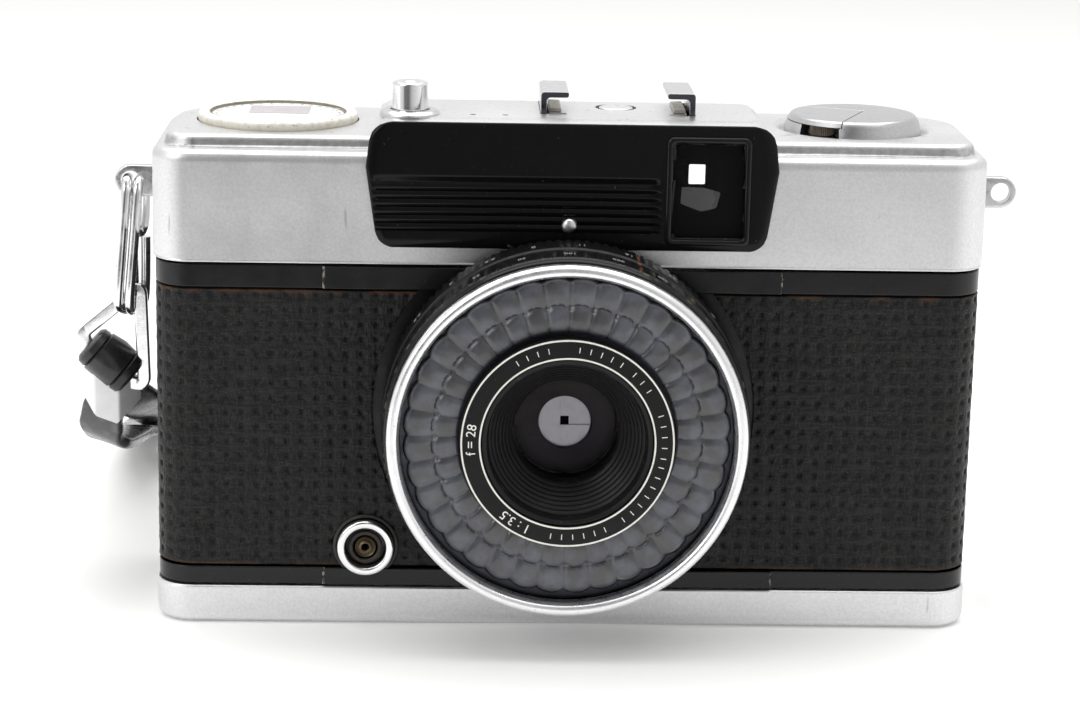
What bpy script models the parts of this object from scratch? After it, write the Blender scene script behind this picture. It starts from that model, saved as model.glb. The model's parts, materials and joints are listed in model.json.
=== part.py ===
"""A half-frame 35 mm camera with a selenium cell round its lens, as separate parts.

Frame: +X to the right as seen from the front, +Y from the lens to the back, +Z up.
The origin is at the middle of the base.  Lengths below are millimetres; MM makes them metres.
"""
import math

import bmesh
import bpy
from mathutils import Matrix, Vector

MM = 0.001
GAP = 0.3

# Outer body
HALF_W = 54.0
FRONT = -8.5
BACK = 23.0
CORNER = 5.0
BASE_TOP = 5.15
COVER_LOW = 48.7
COVER_EDGE = 62.35
LEDGE = 63.3
PLATEAU = 64.9
HUMP_TOP = 67.4
HUMP_HALF_W = 24.9
HUMP_BACK = 11.0
WALL = 1.3

# Casting and its coverings
CAST_HALF_W = 52.9
CAST_FRONT = -7.3
CAST_BACK = 19.7
CAST_LOW = 5.45
CAST_HIGH = 48.4
TRIM_LOW = 7.75
TRIM_HIGH = 45.45
LEATHER_LOW = 8.05
LEATHER_HIGH = 45.15
LEATHER_THICK = 0.6
PANEL_LEFT = -31.9
PANEL_RIGHT = 27.5
FILM_PLANE = 17.0

# Lens group, measured from its axis; depths are forward distances from the plane y = 0
LENS = (-0.5, 29.2)
RIM_R = 22.85
RIM_FRONT = 23.5
BLADE_NOTCH = 0.45

# Controls and fittings
COUNTER = (-38.46, 7.2)
WHEEL = (-38.5, 13.0)
WHEEL_R = 10.5
SPOOL = (-38.3, 7.4)
SPROCKET = (-20.0, 10.8)
REWIND = (37.8, 7.4)
CRANK_START = (35.3, -0.8)
CRANK_EDGE = 67.3
CRANK_LENGTH = 11.0
CRANK_HANDLE = (33.1, 2.4)
BUTTON = (-20.9, -2.3)
SYNC = (-26.2, 10.8)
SHOE_X = 6.04
LUG_X = 58.0
LUG_Z = 56.4
LUG_Y = 7.25
LUG_R = 2.1
LUG_FOOT_X = 54.4
FINDER = (12.5, 22.2, 52.5, 65.4)
EYEPIECE = (17.4, 56.6)
HINGE = (-51.0, 20.9)
TRIPOD = (0.0, 7.0)
TRIPOD_R = 3.175
LATCH_Z = (20.0, 34.0)

# Wrist strap: link, ring, clamp and the strap's two legs, laid on the table behind
LINK_X = -58.2
STRAP_D = 3.4
STRAP_ROUTE = (
    (-61.9, 8.9, 23.0), (-62.0, 12.5, 20.4), (-61.4, 18.0, 18.6), (-61.2, 26.0, 16.6),
    (-61.5, 36.0, 13.8), (-62.4, 48.0, 10.5), (-63.6, 60.0, 7.1), (-64.4, 72.0, 4.1),
    (-63.6, 84.0, 2.3), (-59.0, 94.0, 1.9), (-49.0, 100.5, 1.9), (-34.0, 103.0, 1.9),
    (-14.0, 104.0, 1.9), (6.0, 103.5, 1.9), (21.0, 100.0, 1.9), (28.0, 91.5, 1.9),
    (21.0, 83.0, 1.9), (6.0, 80.5, 1.9), (-12.0, 81.0, 1.9), (-30.0, 82.0, 1.9),
    (-44.0, 81.0, 1.9), (-52.5, 77.5, 1.9), (-57.8, 70.5, 3.9), (-59.6, 60.0, 8.8),
    (-59.4, 48.0, 13.0), (-58.9, 36.0, 16.7), (-58.6, 26.0, 19.5), (-58.6, 18.0, 21.8),
    (-59.0, 12.6, 23.6), (-59.6, 9.9, 25.0),
)

FINISHES = {
    "satin": ((0.56, 0.56, 0.58), 0.35, 1.0),
    "chrome": ((0.72, 0.72, 0.74), 0.12, 1.0),
    "black": ((0.012, 0.012, 0.013), 0.35, 0.0),
    "matt_black": ((0.010, 0.010, 0.010), 0.75, 0.0),
    "leather": ((0.014, 0.014, 0.015), 0.60, 0.0),
    "ivory": ((0.80, 0.76, 0.64), 0.40, 0.0),
    "glass": ((0.85, 0.88, 0.90), 0.05, 0.0),
    "cell": ((0.030, 0.036, 0.050), 0.30, 0.2),
    "brass": ((0.55, 0.38, 0.14), 0.30, 1.0),
    "steel": ((0.45, 0.45, 0.46), 0.30, 1.0),
    "red": ((0.45, 0.03, 0.02), 0.50, 0.0),
}


# ---------------------------------------------------------------- collections and finishes

def clear_scene():
    for thing in list(bpy.data.objects):
        bpy.data.objects.remove(thing, do_unlink=True)


def collection(name):
    made = bpy.data.collections.new(name)
    bpy.context.scene.collection.children.link(made)
    return made


def finish(name):
    made = bpy.data.materials.get(name)
    if made is None:
        colour, roughness, metallic = FINISHES[name]
        made = bpy.data.materials.new(name)
        made.use_nodes = True
        shader = made.node_tree.nodes["Principled BSDF"]
        shader.inputs["Base Color"].default_value = (*colour, 1.0)
        shader.inputs["Roughness"].default_value = roughness
        shader.inputs["Metallic"].default_value = metallic
    return made


clear_scene()
PARTS = collection("half_frame_camera")
TOOLS = collection("cutters")


# ---------------------------------------------------------------- shape makers

def place(name, mesh, look):
    """Link a mesh as a finished part, or as a cutter when it has no look."""
    thing = bpy.data.objects.new(name, mesh)
    if look is None:
        TOOLS.objects.link(thing)
        thing.hide_render = True
        thing.display_type = 'WIRE'
    else:
        PARTS.objects.link(thing)
        mesh.materials.append(finish(look))
    return thing


def box(name, low, high, look=None):
    cage = bmesh.new()
    bmesh.ops.create_cube(cage, size=1.0)
    size = Vector(high) - Vector(low)
    middle = (Vector(high) + Vector(low)) / 2
    bmesh.ops.scale(cage, vec=size * MM, verts=cage.verts)
    bmesh.ops.translate(cage, vec=middle * MM, verts=cage.verts)
    mesh = bpy.data.meshes.new(name)
    cage.to_mesh(mesh)
    cage.free()
    return place(name, mesh, look)


def mesh_of(curve_object):
    """The curve as a welded mesh in world space; the curve itself is removed."""
    scene = bpy.context.scene
    scene.collection.objects.link(curve_object)
    depsgraph = bpy.context.evaluated_depsgraph_get()
    mesh = bpy.data.meshes.new_from_object(curve_object.evaluated_get(depsgraph))
    bpy.data.objects.remove(curve_object)
    weld = bmesh.new()
    weld.from_mesh(mesh)
    bmesh.ops.remove_doubles(weld, verts=weld.verts, dist=0.000001)
    weld.to_mesh(mesh)
    weld.free()
    return mesh


def add_spline(curve, points, cyclic):
    spline = curve.splines.new('POLY')
    spline.points.add(len(points) - 1)
    spline.use_cyclic_u = cyclic
    for slot, point in zip(spline.points, points):
        full = (*point, 0.0) if len(point) == 2 else point
        slot.co = (full[0] * MM, full[1] * MM, full[2] * MM, 1.0)


TURNS = {
    'Z': Matrix.Identity(4),
    'Y': Matrix.Rotation(math.pi / 2, 4, 'X'),
    'X': Matrix(((0, 0, 1, 0), (1, 0, 0, 0), (0, 1, 0, 0), (0, 0, 0, 1))),
}


def prism(name, outlines, low, high, look=None, axis='Z'):
    """A flat outline, or an outline with holes, given a thickness along an axis.

    Outline points are (x, y) for Z, (x, z) for Y and (y, z) for X.
    """
    if not isinstance(outlines[0][0], (tuple, list)):
        outlines = [outlines]
    curve = bpy.data.curves.new(name, 'CURVE')
    curve.dimensions = '2D'
    curve.fill_mode = 'BOTH'
    curve.extrude = abs(high - low) * MM / 2
    for outline in outlines:
        add_spline(curve, outline, True)
    mesh = mesh_of(bpy.data.objects.new(name, curve))
    middle = (low + high) / 2 * MM
    shift = {'Z': (0, 0, middle), 'Y': (0, middle, 0), 'X': (middle, 0, 0)}[axis]
    mesh.transform(Matrix.Translation(shift) @ TURNS[axis])
    return place(name, mesh, look)


def turned(name, profile, centre, look=None, axis='Z', steps=28, ring=False):
    """A (radius, height) profile turned about an axis; heights run forward for axis Y."""
    mesh = bpy.data.meshes.new(name)
    count = len(profile)
    edges = [(i, i + 1) for i in range(count - 1)]
    if ring:
        edges.append((count - 1, 0))
    mesh.from_pydata([(r * MM, 0, z * MM) for r, z in profile], edges, [])
    thing = place(name, mesh, look)
    screw = thing.modifiers.new("turn", 'SCREW')
    screw.steps = steps
    screw.render_steps = steps
    screw.use_merge_vertices = True
    screw.merge_threshold = 0.000001
    screw.use_normal_calculate = False
    if axis == 'Y':
        thing.rotation_euler = (math.pi / 2, 0, 0)
        thing.location = (centre[0] * MM, 0, centre[1] * MM)
    else:
        thing.location = (centre[0] * MM, centre[1] * MM, 0)
    return thing


def disc(name, radius, low, high, centre, look=None, axis='Z', steps=28):
    return turned(name, [(0, high), (radius, high), (radius, low), (0, low)],
                  centre, look, axis, steps)


def washer(name, outer, inner, low, high, centre, look=None, axis='Z', steps=28):
    profile = [(outer, high), (outer, low), (inner, low), (inner, high)]
    return turned(name, profile, centre, look, axis, steps, ring=True)


def loft(name, sections, look=None):
    """A closed solid through flat sections that have the same number of points."""
    cage = bmesh.new()
    rings = [[cage.verts.new(Vector(p) * MM) for p in section] for section in sections]
    count = len(rings[0])
    for lower, upper in zip(rings, rings[1:]):
        for i in range(count):
            j = (i + 1) % count
            cage.faces.new((lower[i], lower[j], upper[j], upper[i]))
    cage.faces.new(list(reversed(rings[0])))
    cage.faces.new(rings[-1])
    bmesh.ops.recalc_face_normals(cage, faces=cage.faces)
    mesh = bpy.data.meshes.new(name)
    cage.to_mesh(mesh)
    cage.free()
    return place(name, mesh, look)


def tube(name, points, diameter, look, cyclic=False):
    """A round wire or cord along a smooth run of points."""
    curve = bpy.data.curves.new(name, 'CURVE')
    curve.dimensions = '3D'
    curve.bevel_depth = diameter / 2 * MM
    curve.bevel_resolution = 2
    curve.use_fill_caps = not cyclic
    add_spline(curve, points, cyclic)
    return place(name, mesh_of(bpy.data.objects.new(name, curve)), look)


def combine(target, tool, operation):
    step = target.modifiers.new(tool.name, 'BOOLEAN')
    step.object = tool
    step.operation = operation
    step.solver = 'EXACT'


def cut(target, *tools):
    for tool in tools:
        combine(target, tool, 'DIFFERENCE')


def join(target, *tools):
    for tool in tools:
        combine(target, tool, 'UNION')


def smooth(thing, degrees=35):
    mesh = thing.data
    mesh.shade_smooth()
    mesh.set_sharp_from_angle(angle=math.radians(degrees))


def on_axis(name, where, *things):
    """Put an empty on a joint's axis and hang its moving pieces from it."""
    pivot = bpy.data.objects.new(name, None)
    pivot.location = Vector(where) * MM
    pivot.empty_display_size = 0.005
    PARTS.objects.link(pivot)
    for thing in things:
        thing.parent = pivot
        thing.location = thing.location - pivot.location


# ---------------------------------------------------------------- outlines

def arc(cx, cy, radius, start, stop, count):
    """Points along an arc, in degrees, both ends included."""
    turn = math.radians(stop - start) / count
    begin = math.radians(start)
    return [(cx + radius * math.cos(begin + turn * i), cy + radius * math.sin(begin + turn * i))
            for i in range(count + 1)]


def rounded(x0, x1, y0, y1, front_r, back_r=None, count=5):
    """A rectangle with rounded corners, counter-clockwise from above."""
    back_r = front_r if back_r is None else back_r
    return (arc(x0 + front_r, y0 + front_r, front_r, 180, 270, count)
            + arc(x1 - front_r, y0 + front_r, front_r, 270, 360, count)
            + arc(x1 - back_r, y1 - back_r, back_r, 0, 90, count)
            + arc(x0 + back_r, y1 - back_r, back_r, 90, 180, count))


def circle(cx, cy, radius, count=32):
    return arc(cx, cy, radius, 0, 360, count)[:-1]


def at_height(outline, z):
    return [(x, y, z) for x, y in outline]


def body_outline(inset):
    radius = max(CORNER - inset, 1.0)
    return rounded(-HALF_W + inset, HALF_W - inset, FRONT + inset, BACK - inset, radius)


def chamber(cx, cy, radius, back):
    """A film chamber seen from above: round in front, open at the back."""
    return arc(cx, cy, radius, 180, 360, 12) + [(cx + radius, back), (cx - radius, back)]


def smooth_route(points, spacing):
    """Points read at an even spacing from a Catmull-Rom curve through a route."""
    route = [Vector(p) for p in points]
    route = [route[0] * 2 - route[1]] + route + [route[-1] * 2 - route[-2]]
    fine = []
    for a, b, c, d in zip(route, route[1:], route[2:], route[3:]):
        for i in range(20):
            t = i / 20
            fine.append(0.5 * ((2 * b) + (c - a) * t + (2 * a - 5 * b + 4 * c - d) * t * t
                               + (3 * b - a - 3 * c + d) * t * t * t))
    fine.append(route[-2])
    total = sum((q - p).length for p, q in zip(fine, fine[1:]))
    count = max(2, round(total / spacing))
    step = total / count
    read = [fine[0]]
    walked = 0.0
    for p, q in zip(fine, fine[1:]):
        span = (q - p).length
        while walked + span >= step * len(read) and len(read) < count:
            read.append(p.lerp(q, (step * len(read) - walked) / span))
        walked += span
    read.append(fine[-1])
    return [tuple(p) for p in read]


# ---------------------------------------------------------------- body and coverings

def make_casting():
    casting = prism("body_casting",
                    rounded(-CAST_HALF_W, CAST_HALF_W, CAST_FRONT, CAST_BACK, 4.3, 0.6),
                    CAST_LOW + 0.3, CAST_HIGH - 0.3, "matt_black")
    band = rounded(-53.6, 53.6, -8.2, CAST_BACK - 0.3, 4.9, 0.6)
    join(casting, prism("band_low", band, CAST_LOW, TRIM_LOW),
         prism("band_high", band, TRIM_HIGH, CAST_HIGH))
    room = (7.0, 46.6)
    cut(casting,
        box("panel_pocket", (PANEL_LEFT - GAP, -9.5, 5.0), (PANEL_RIGHT + GAP, -6.3, 49.0)),
        prism("cassette_room", chamber(*REWIND, 12.6, 30.0), *room),
        prism("take_up_room", chamber(*SPOOL, 12.3, 30.0), *room),
        box("back_room", (-50.6, FILM_PLANE, room[0]), (50.4, 30.0, room[1])),
        disc("sprocket_room", 7.2, *room, SPROCKET, steps=24),
        box("film_tunnel", (LENS[0] - 9.0, -3.0, LENS[1] - 12.0), (LENS[0] + 9.0, 25.0, LENS[1] + 12.0)),
        disc("shutter_bore", 18.3, 0.8, 9.5, LENS, axis='Y'),
        disc("hinge_relief", 1.95, 5.0, 49.0, HINGE, steps=24),
        disc("rewind_bore", 3.2, 46.0, 49.0, REWIND, steps=24),
        disc("spool_bore", 1.7, 46.0, 49.0, SPOOL, steps=16),
        disc("sprocket_bore", 1.7, 46.0, 49.0, SPROCKET, steps=16),
        disc("release_bore", 1.9, 5.0, 7.5, SPROCKET, steps=16),
        disc("sync_bore", 3.3, 4.9, 9.5, SYNC, axis='Y', steps=24),
        box("latch_slot", (51.5, 12.0, LATCH_Z[0] - 4.0), (54.5, 16.0, LATCH_Z[1] + 1.0)))


def make_covering(name, side):
    """A leatherette strip from the lens, round the front corner, to the door edge."""
    inner = CAST_HALF_W + GAP
    outer = inner + LEATHER_THICK
    face = CAST_FRONT - GAP
    corner_x = CAST_HALF_W - 4.3
    corner_y = CAST_FRONT + 4.3
    outer_arc = arc(corner_x, corner_y, 4.6 + LEATHER_THICK, 270, 360, 6)
    inner_arc = arc(corner_x, corner_y, 4.6, 360, 270, 6)
    outline = ([(12.0, face - LEATHER_THICK)] + outer_arc + [(outer, 19.4), (inner, 19.4)]
               + inner_arc + [(12.0, face)])
    if side < 0:
        outline = [(-x, y) for x, y in reversed(outline)]
    strip = prism(name, outline, LEATHER_LOW, LEATHER_HIGH, "leather")
    cut(strip, disc(name + "_lens_hole", 24.9, 5.0, 12.0, LENS, axis='Y', steps=48))
    if side < 0:
        cut(strip, disc("sync_clearance", 5.0, 5.0, 12.0, SYNC, axis='Y', steps=24))
    else:
        cut(strip, box("latch_clearance", (52.5, 10.5, LATCH_Z[0] - 4.5), (55.0, 17.5, LATCH_Z[1] + 1.5)))


def make_lens_panel():
    panel = box("lens_panel", (PANEL_LEFT, CAST_FRONT, 5.5), (PANEL_RIGHT, -6.6, 48.35), "black")
    join(panel, box("panel_low", (PANEL_LEFT + 0.01, FRONT, 5.51), (PANEL_RIGHT - 0.01, -6.9, TRIM_LOW)),
         box("panel_high", (PANEL_LEFT + 0.01, FRONT, TRIM_HIGH), (PANEL_RIGHT - 0.01, -6.9, 48.34)))
    cut(panel, disc("panel_lens_hole", 18.3, 6.0, 10.0, LENS, axis='Y', steps=48),
        disc("panel_sync_hole", 3.3, 6.0, 10.0, SYNC, axis='Y', steps=24))


def make_top_cover():
    step = rounded(-52.5, 52.5, FRONT + 2.0, BACK - 4.0, 3.8)
    cover = loft("top_cover", [
        at_height(body_outline(0.0), COVER_LOW), at_height(body_outline(0.0), COVER_EDGE),
        at_height(body_outline(0.3), COVER_EDGE + 0.65), at_height(body_outline(1.0), LEDGE),
        at_height(step, LEDGE + 0.1), at_height(step, PLATEAU - 0.4),
        at_height(rounded(-52.1, 52.1, FRONT + 2.4, BACK - 4.4, 3.4), PLATEAU)], "satin")
    hump_low = rounded(-HUMP_HALF_W, HUMP_HALF_W, FRONT + 0.05, HUMP_BACK, 1.5, count=2)
    hump_high = rounded(-HUMP_HALF_W + 0.5, HUMP_HALF_W - 0.5, FRONT + 0.4, HUMP_BACK - 0.6, 1.5, count=2)
    join(cover, loft("hump", [at_height(hump_low, 60.0), at_height(hump_low, HUMP_TOP - 0.5),
                              at_height(hump_high, HUMP_TOP)]))
    inner = rounded(-HALF_W + WALL, HALF_W - WALL, FRONT + WALL, BACK - WALL, 3.7, count=3)
    cut(cover,
        prism("cover_room", inner, 48.0, 61.8),
        prism("plateau_room", rounded(-51.0, 51.0, -5.0, 17.6, 3.0, count=2), 61.0, 63.2),
        prism("hump_room", rounded(-23.4, 23.4, -6.9, 9.6, 1.5, count=1), 61.0, 66.2),
        prism("fascia_pocket", fascia_outline(0.3), FRONT - 3.0, -7.9, axis='Y'),
        box("finder_opening", (FINDER[0], -9.5, FINDER[2]), (FINDER[1], -6.5, FINDER[3])),
        disc("eyepiece_opening", 4.3, -25.0, -20.5, EYEPIECE, axis='Y', steps=32),
        disc("counter_opening", 10.8, 62.0, 66.0, COUNTER, steps=32),
        turned("rewind_dish", [(0, 66.0), (10.6, 66.0), (9.7, 64.1), (0, 64.1)], REWIND, steps=32),
        disc("rewind_opening", 4.2, 62.0, 66.0, REWIND, steps=24),
        disc("button_opening", 2.75, 65.0, 69.0, BUTTON, steps=24),
        disc("contact_opening", 2.9, 65.0, 69.0, (SHOE_X, 5.0), steps=24),
        box("wheel_opening", (WHEEL[0] - 6.8, 20.0, 48.0), (WHEEL[0] + 6.8, 24.0, 53.6)))
    for side in (-1, 1):
        ends = sorted((side * 51.0, side * 55.0))
        cut(cover, box("lug_opening", (ends[0], LUG_Y - 1.1, LUG_Z - 2.5),
                       (ends[1], LUG_Y + 1.1, LUG_Z + 2.5)))
        rail = SHOE_X + side * 9.7
        cut(cover, box("rail_opening", (rail - 0.75, -1.5, 65.0), (rail + 0.75, 10.1, 69.0)))


def fascia_outline(grow):
    """The front plate: widest near its top, drawn in to a rounded lower edge."""
    low = 51.1 - grow
    high = HUMP_TOP + grow
    return [(-24.7 - grow, high), (-25.6 - grow, high - 0.9), (-26.4 - grow, 61.5), (-24.9 - grow, 53.0),
            (-24.1 - grow, low + 0.7), (-22.9, low), (22.9, low), (24.3 + grow, low + 0.7),
            (25.2 + grow, 53.0), (26.4 + grow, 61.5), (25.5 + grow, high - 0.9), (24.6 + grow, high)]


def make_fascia():
    fascia = prism("front_fascia", fascia_outline(0.0), -9.3, -8.2, "black", axis='Y')
    cut(fascia, box("frame_opening", (11.6, -10.0, 51.6), (23.1, -8.0, 66.3)),
        disc("stud_opening", 0.8, 8.0, 10.0, (-0.35, 54.4), axis='Y', steps=16))
    turned("index_stud", [(0, 10.3), (0.6, 10.15), (0.93, 9.7), (0.5, 9.7), (0.5, 8.4), (0, 8.4)],
           (-0.35, 54.4), "chrome", 'Y', 20)


def make_base():
    base = loft("base_plate", [
        at_height(body_outline(1.1), 0.0), at_height(body_outline(0.4), 0.3),
        at_height(body_outline(0.0), 1.2), at_height(body_outline(0.0), BASE_TOP)], "satin")
    inner = rounded(-HALF_W + WALL, HALF_W - WALL, FRONT + WALL, BACK - WALL, 3.7, count=3)
    cut(base,
        prism("base_room", inner, 1.4, 6.0),
        disc("tripod_opening", 6.6, -1.0, 3.0, TRIPOD),
        disc("release_opening", 2.4, -1.0, 3.0, SPROCKET, steps=24))
    turned("tripod_bush", [(8.5, 5.0), (8.5, 1.7), (6.3, 1.7), (6.3, 0.0), (TRIPOD_R, 0.0), (TRIPOD_R, 5.0)],
           TRIPOD, "steel", steps=28, ring=True)


def make_lug(name, side):
    """A strap lug: a flat eye outside the cover's wall, on a thinner stem through it."""
    outline = ([(LUG_FOOT_X, LUG_Z - LUG_R), (LUG_X, LUG_Z - LUG_R)]
               + arc(LUG_X, LUG_Z, LUG_R, -80, 80, 10)
               + [(LUG_X, LUG_Z + LUG_R), (LUG_FOOT_X, LUG_Z + LUG_R)])
    eye = circle(LUG_X, LUG_Z, 1.3, 16)
    if side < 0:
        outline = [(-x, z) for x, z in reversed(outline)]
        eye = [(-x, z) for x, z in reversed(eye)]
    lug = prism(name, [outline, eye], LUG_Y - 0.75, LUG_Y + 0.75, "chrome", axis='Y')
    ends = sorted((side * 51.6, side * (LUG_FOOT_X + 0.4)))
    join(lug, box(name + "_stem", (ends[0], LUG_Y - 0.6, LUG_Z - 2.0),
                  (ends[1], LUG_Y + 0.6, LUG_Z + 2.0)))


# ---------------------------------------------------------------- lens, cell and shutter

def make_lens_group():
    turned("shutter_block",
           [(21.5, 20.0), (21.5, 8.9), (18.0, 8.9), (18.0, 1.2), (7.3, 1.2),
            (7.3, 8.6), (15.0, 8.6), (15.0, 12.6), (11.9, 12.6), (11.9, 20.0)],
           LENS, "matt_black", 'Y', 32, ring=True)
    washer("selenium_cell", 21.1, 12.2, 20.3, 20.8, LENS, "cell", 'Y', 32)
    turned("cell_window", [(20.9, 21.9), (20.9, 21.1), (13.9, 21.1), (13.9, 21.9), (17.4, 22.2)],
           LENS, "glass", 'Y', 32, ring=True)
    turned("front_trim_ring",
           [(21.2, 23.3), (21.7, RIM_FRONT), (22.4, RIM_FRONT), (RIM_R, 23.1), (RIM_R, 21.1), (21.2, 21.1)],
           LENS, "chrome", 'Y', 32, ring=True)
    turned("lens_name_ring", [(13.5, 23.4), (13.5, 22.5), (10.9, 22.5), (10.9, 23.4)],
           LENS, "black", 'Y', 32, ring=True)
    steps = [(11.5, 21.1), (11.5, 13.0), (6.9, 13.0), (6.9, 17.4)]
    for i in range(1, 5):
        steps += [(6.9 + i * 0.95, 16.6 + i * 1.1), (6.9 + i * 0.95, 17.4 + i * 1.1)]
    turned("lens_barrel", [(13.5, 22.2), (13.5, 21.1)] + steps + [(11.0, 22.2)],
           LENS, "matt_black", 'Y', 32, ring=True)
    turned("front_lens_element", [(0, 17.2), (3.5, 16.95), (6.6, 16.2), (6.6, 14.4), (4.0, 14.8), (0, 14.95)],
           LENS, "glass", 'Y', 24)
    turned("rear_lens_element", [(0, 8.0), (4.0, 7.8), (6.9, 7.2), (6.9, 5.0), (4.0, 4.5), (0, 4.3)],
           LENS, "glass", 'Y', 24)


def blade_outline(sign, notch):
    """Half of the two-blade diaphragm: a plate with one corner cut away."""
    points = [(-notch, 6.2), (-6.0, 6.2), (-7.0, 5.2), (-7.0, -4.0), (-4.0, -7.0), (5.2, -7.0),
              (6.2, -6.0), (6.2, -notch), (-notch, -notch)]
    return [(LENS[0] + sign * x, LENS[1] + sign * z) for x, z in points]


def make_blades():
    front = prism("diaphragm_blade_front", blade_outline(1, BLADE_NOTCH), -12.1, -11.8, "steel", axis='Y')
    rear = prism("diaphragm_blade_rear", blade_outline(-1, BLADE_NOTCH), -11.5, -11.2, "steel", axis='Y')
    on_axis("diaphragm_front_slide", (LENS[0], -12.0, LENS[1]), front)
    on_axis("diaphragm_rear_slide", (LENS[0], -11.4, LENS[1]), rear)
    for name, side, near in (("shutter_blade_left", -1, -10.6), ("shutter_blade_right", 1, -10.0)):
        points = [(0.5, -5.8), (-6.0, -5.8), (-7.5, -4.3), (-7.5, 4.3), (-6.0, 5.8), (0.5, 5.8)]
        outline = [(LENS[0] - side * x, LENS[1] + z) for x, z in points]
        blade = prism(name, outline, near, near + 0.3, "steel", axis='Y')
        on_axis(name + "_slide", (LENS[0], near, LENS[1]), blade)


def knurled(outer, inner, teeth, depth):
    """A ring outline with grip flutes round its edge, for a setting ring."""
    points = []
    for i in range(teeth):
        for part, radius in ((0.0, outer), (0.5, outer), (0.5, outer - depth), (1.0, outer - depth)):
            angle = 2 * math.pi * (i + part) / teeth
            points.append((LENS[0] + radius * math.cos(angle), LENS[1] + radius * math.sin(angle)))
    return [points, circle(*LENS, inner, 32)]


def make_setting_rings():
    speed = prism("film_speed_ring", knurled(23.7, 21.8, 24, 0.35), -20.8, -16.4, "black", axis='Y')
    aperture = washer("aperture_ring", 24.0, 21.8, 10.4, 16.1, LENS, "black", 'Y', 48)
    on_axis("film_speed_axis", (LENS[0], -18.6, LENS[1]), speed)
    pivot = (LENS[0], -13.3, LENS[1])
    on_axis("aperture_axis", pivot, aperture)


def make_sync_socket():
    turned("sync_collar", [(3.7, 9.7), (3.7, 8.85), (3.0, 8.85), (3.0, 5.2), (2.4, 5.2), (2.4, 9.7)],
           SYNC, "chrome", 'Y', 24, ring=True)
    washer("sync_insulator", 2.1, 1.65, 5.3, 9.0, SYNC, "matt_black", 'Y', 20)
    washer("sync_contact", 1.35, 0.5, 5.4, 9.1, SYNC, "brass", 'Y', 16)


# ---------------------------------------------------------------- finder and meter

def rectangle(x0, x1, z0, z1, y):
    return [(x0, y, z0), (x1, y, z0), (x1, y, z1), (x0, y, z1)]


def make_finder():
    frame = box("finder_frame", (11.9, -9.9, 51.9), (22.8, -8.2, 66.0), "black")
    cut(frame, box("frame_hole", (FINDER[0], -11.0, FINDER[2]), (FINDER[1], -7.0, FINDER[3])))
    box("finder_window", (FINDER[0] + GAP, -9.1, FINDER[2] + GAP),
        (FINDER[1] - GAP, -8.4, FINDER[3] - GAP), "glass")
    finder_tube = loft("finder_tube", [rectangle(12.2, 22.5, 52.9, 65.2, -5.8),
                                       rectangle(14.2, 20.6, 53.4, 59.8, 19.8)], "matt_black")
    cut(finder_tube, loft("finder_tube_hole", [rectangle(12.8, 21.9, 53.5, 64.6, -5.9),
                                               rectangle(14.8, 20.0, 54.0, 59.2, 19.9)]))
    turned("eyepiece_frame", [(4.0, -20.1), (4.0, -23.5), (2.6, -23.5), (2.6, -20.1)],
           EYEPIECE, "black", 'Y', 24, ring=True)
    turned("finder_eyepiece", [(0, -20.5), (2.3, -20.7), (2.3, -21.9), (0, -22.2)],
           EYEPIECE, "glass", 'Y', 24)


def make_meter():
    disc("meter_movement", 3.8, -4.0, 5.4, (5.0, 57.0), "steel", 'Y', 20)
    outline = [(8.9, 59.6), (8.9, 51.4), (11.1, 51.4), (11.1, 59.6)]
    flag = prism("low_light_flag", outline, -6.9, -6.4, "red", axis='Y')
    on_axis("flag_axis", (10.0, -6.6, 58.5), flag)


# ---------------------------------------------------------------- top controls

def make_shoe():
    """The accessory shoe: a plate under the hump with two hooked rails through slots."""
    shoe = box("accessory_shoe", (SHOE_X - 10.1, -1.1, 65.0), (SHOE_X + 10.1, 9.3, 65.8), "chrome")
    for side in (-1, 1):
        wall = sorted((SHOE_X + side * 9.3, SHOE_X + side * 10.09))
        lip = sorted((SHOE_X + side * 6.35, SHOE_X + side * 10.08))
        join(shoe, box("rail_wall", (wall[0], -1.09, 65.1), (wall[1], 9.29, 70.24)),
             box("rail_lip", (lip[0], -1.08, 69.45), (lip[1], 9.28, 70.25)))
    cut(shoe, disc("shoe_contact_hole", 2.9, 64.0, 67.0, (SHOE_X, 5.0), steps=24))
    turned("shoe_contact", [(0, 67.7), (2.1, 67.7), (2.35, 67.5), (2.35, 64.6), (0, 64.6)],
           (SHOE_X, 5.0), "brass", steps=24)


def make_counter():
    turned("counter_bezel", [(9.8, 66.1), (10.2, 66.1), (10.46, 65.85), (10.46, 63.0), (9.7, 63.0),
                             (9.7, 66.0)], COUNTER, "ivory", steps=32, ring=True)
    turned("counter_window", [(0, 66.05), (8.0, 66.0), (9.4, 65.8), (9.4, 65.2), (0, 65.2)],
           COUNTER, "glass", steps=28)
    dial = turned("counter_dial", [(0, 64.0), (9.3, 64.0), (9.3, 63.5), (1.2, 63.5), (1.2, 55.5), (0, 55.5)],
                  COUNTER, "ivory", steps=28)
    on_axis("counter_axis", (*COUNTER, 60.0), dial)


def make_release():
    washer("release_collar", 3.75, 2.7, 67.7, 68.4, BUTTON, "chrome", steps=24)
    button = turned("shutter_button",
                    [(0.8, 71.6), (2.1, 71.6), (2.35, 71.35), (2.35, 68.0), (1.4, 68.0), (1.4, 57.5),
                     (0, 57.5), (0, 67.5), (0.8, 67.8)],
                    BUTTON, "chrome", steps=20, ring=True)
    on_axis("release_axis", (*BUTTON, 68.0), button)


def on_knob(along, across):
    """A point on the rewind knob: along the crank's straight edge, and to its left."""
    turn = math.radians(CRANK_EDGE)
    return (CRANK_START[0] + along * math.cos(turn) - across * math.sin(turn),
            CRANK_START[1] + along * math.sin(turn) + across * math.cos(turn))


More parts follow.
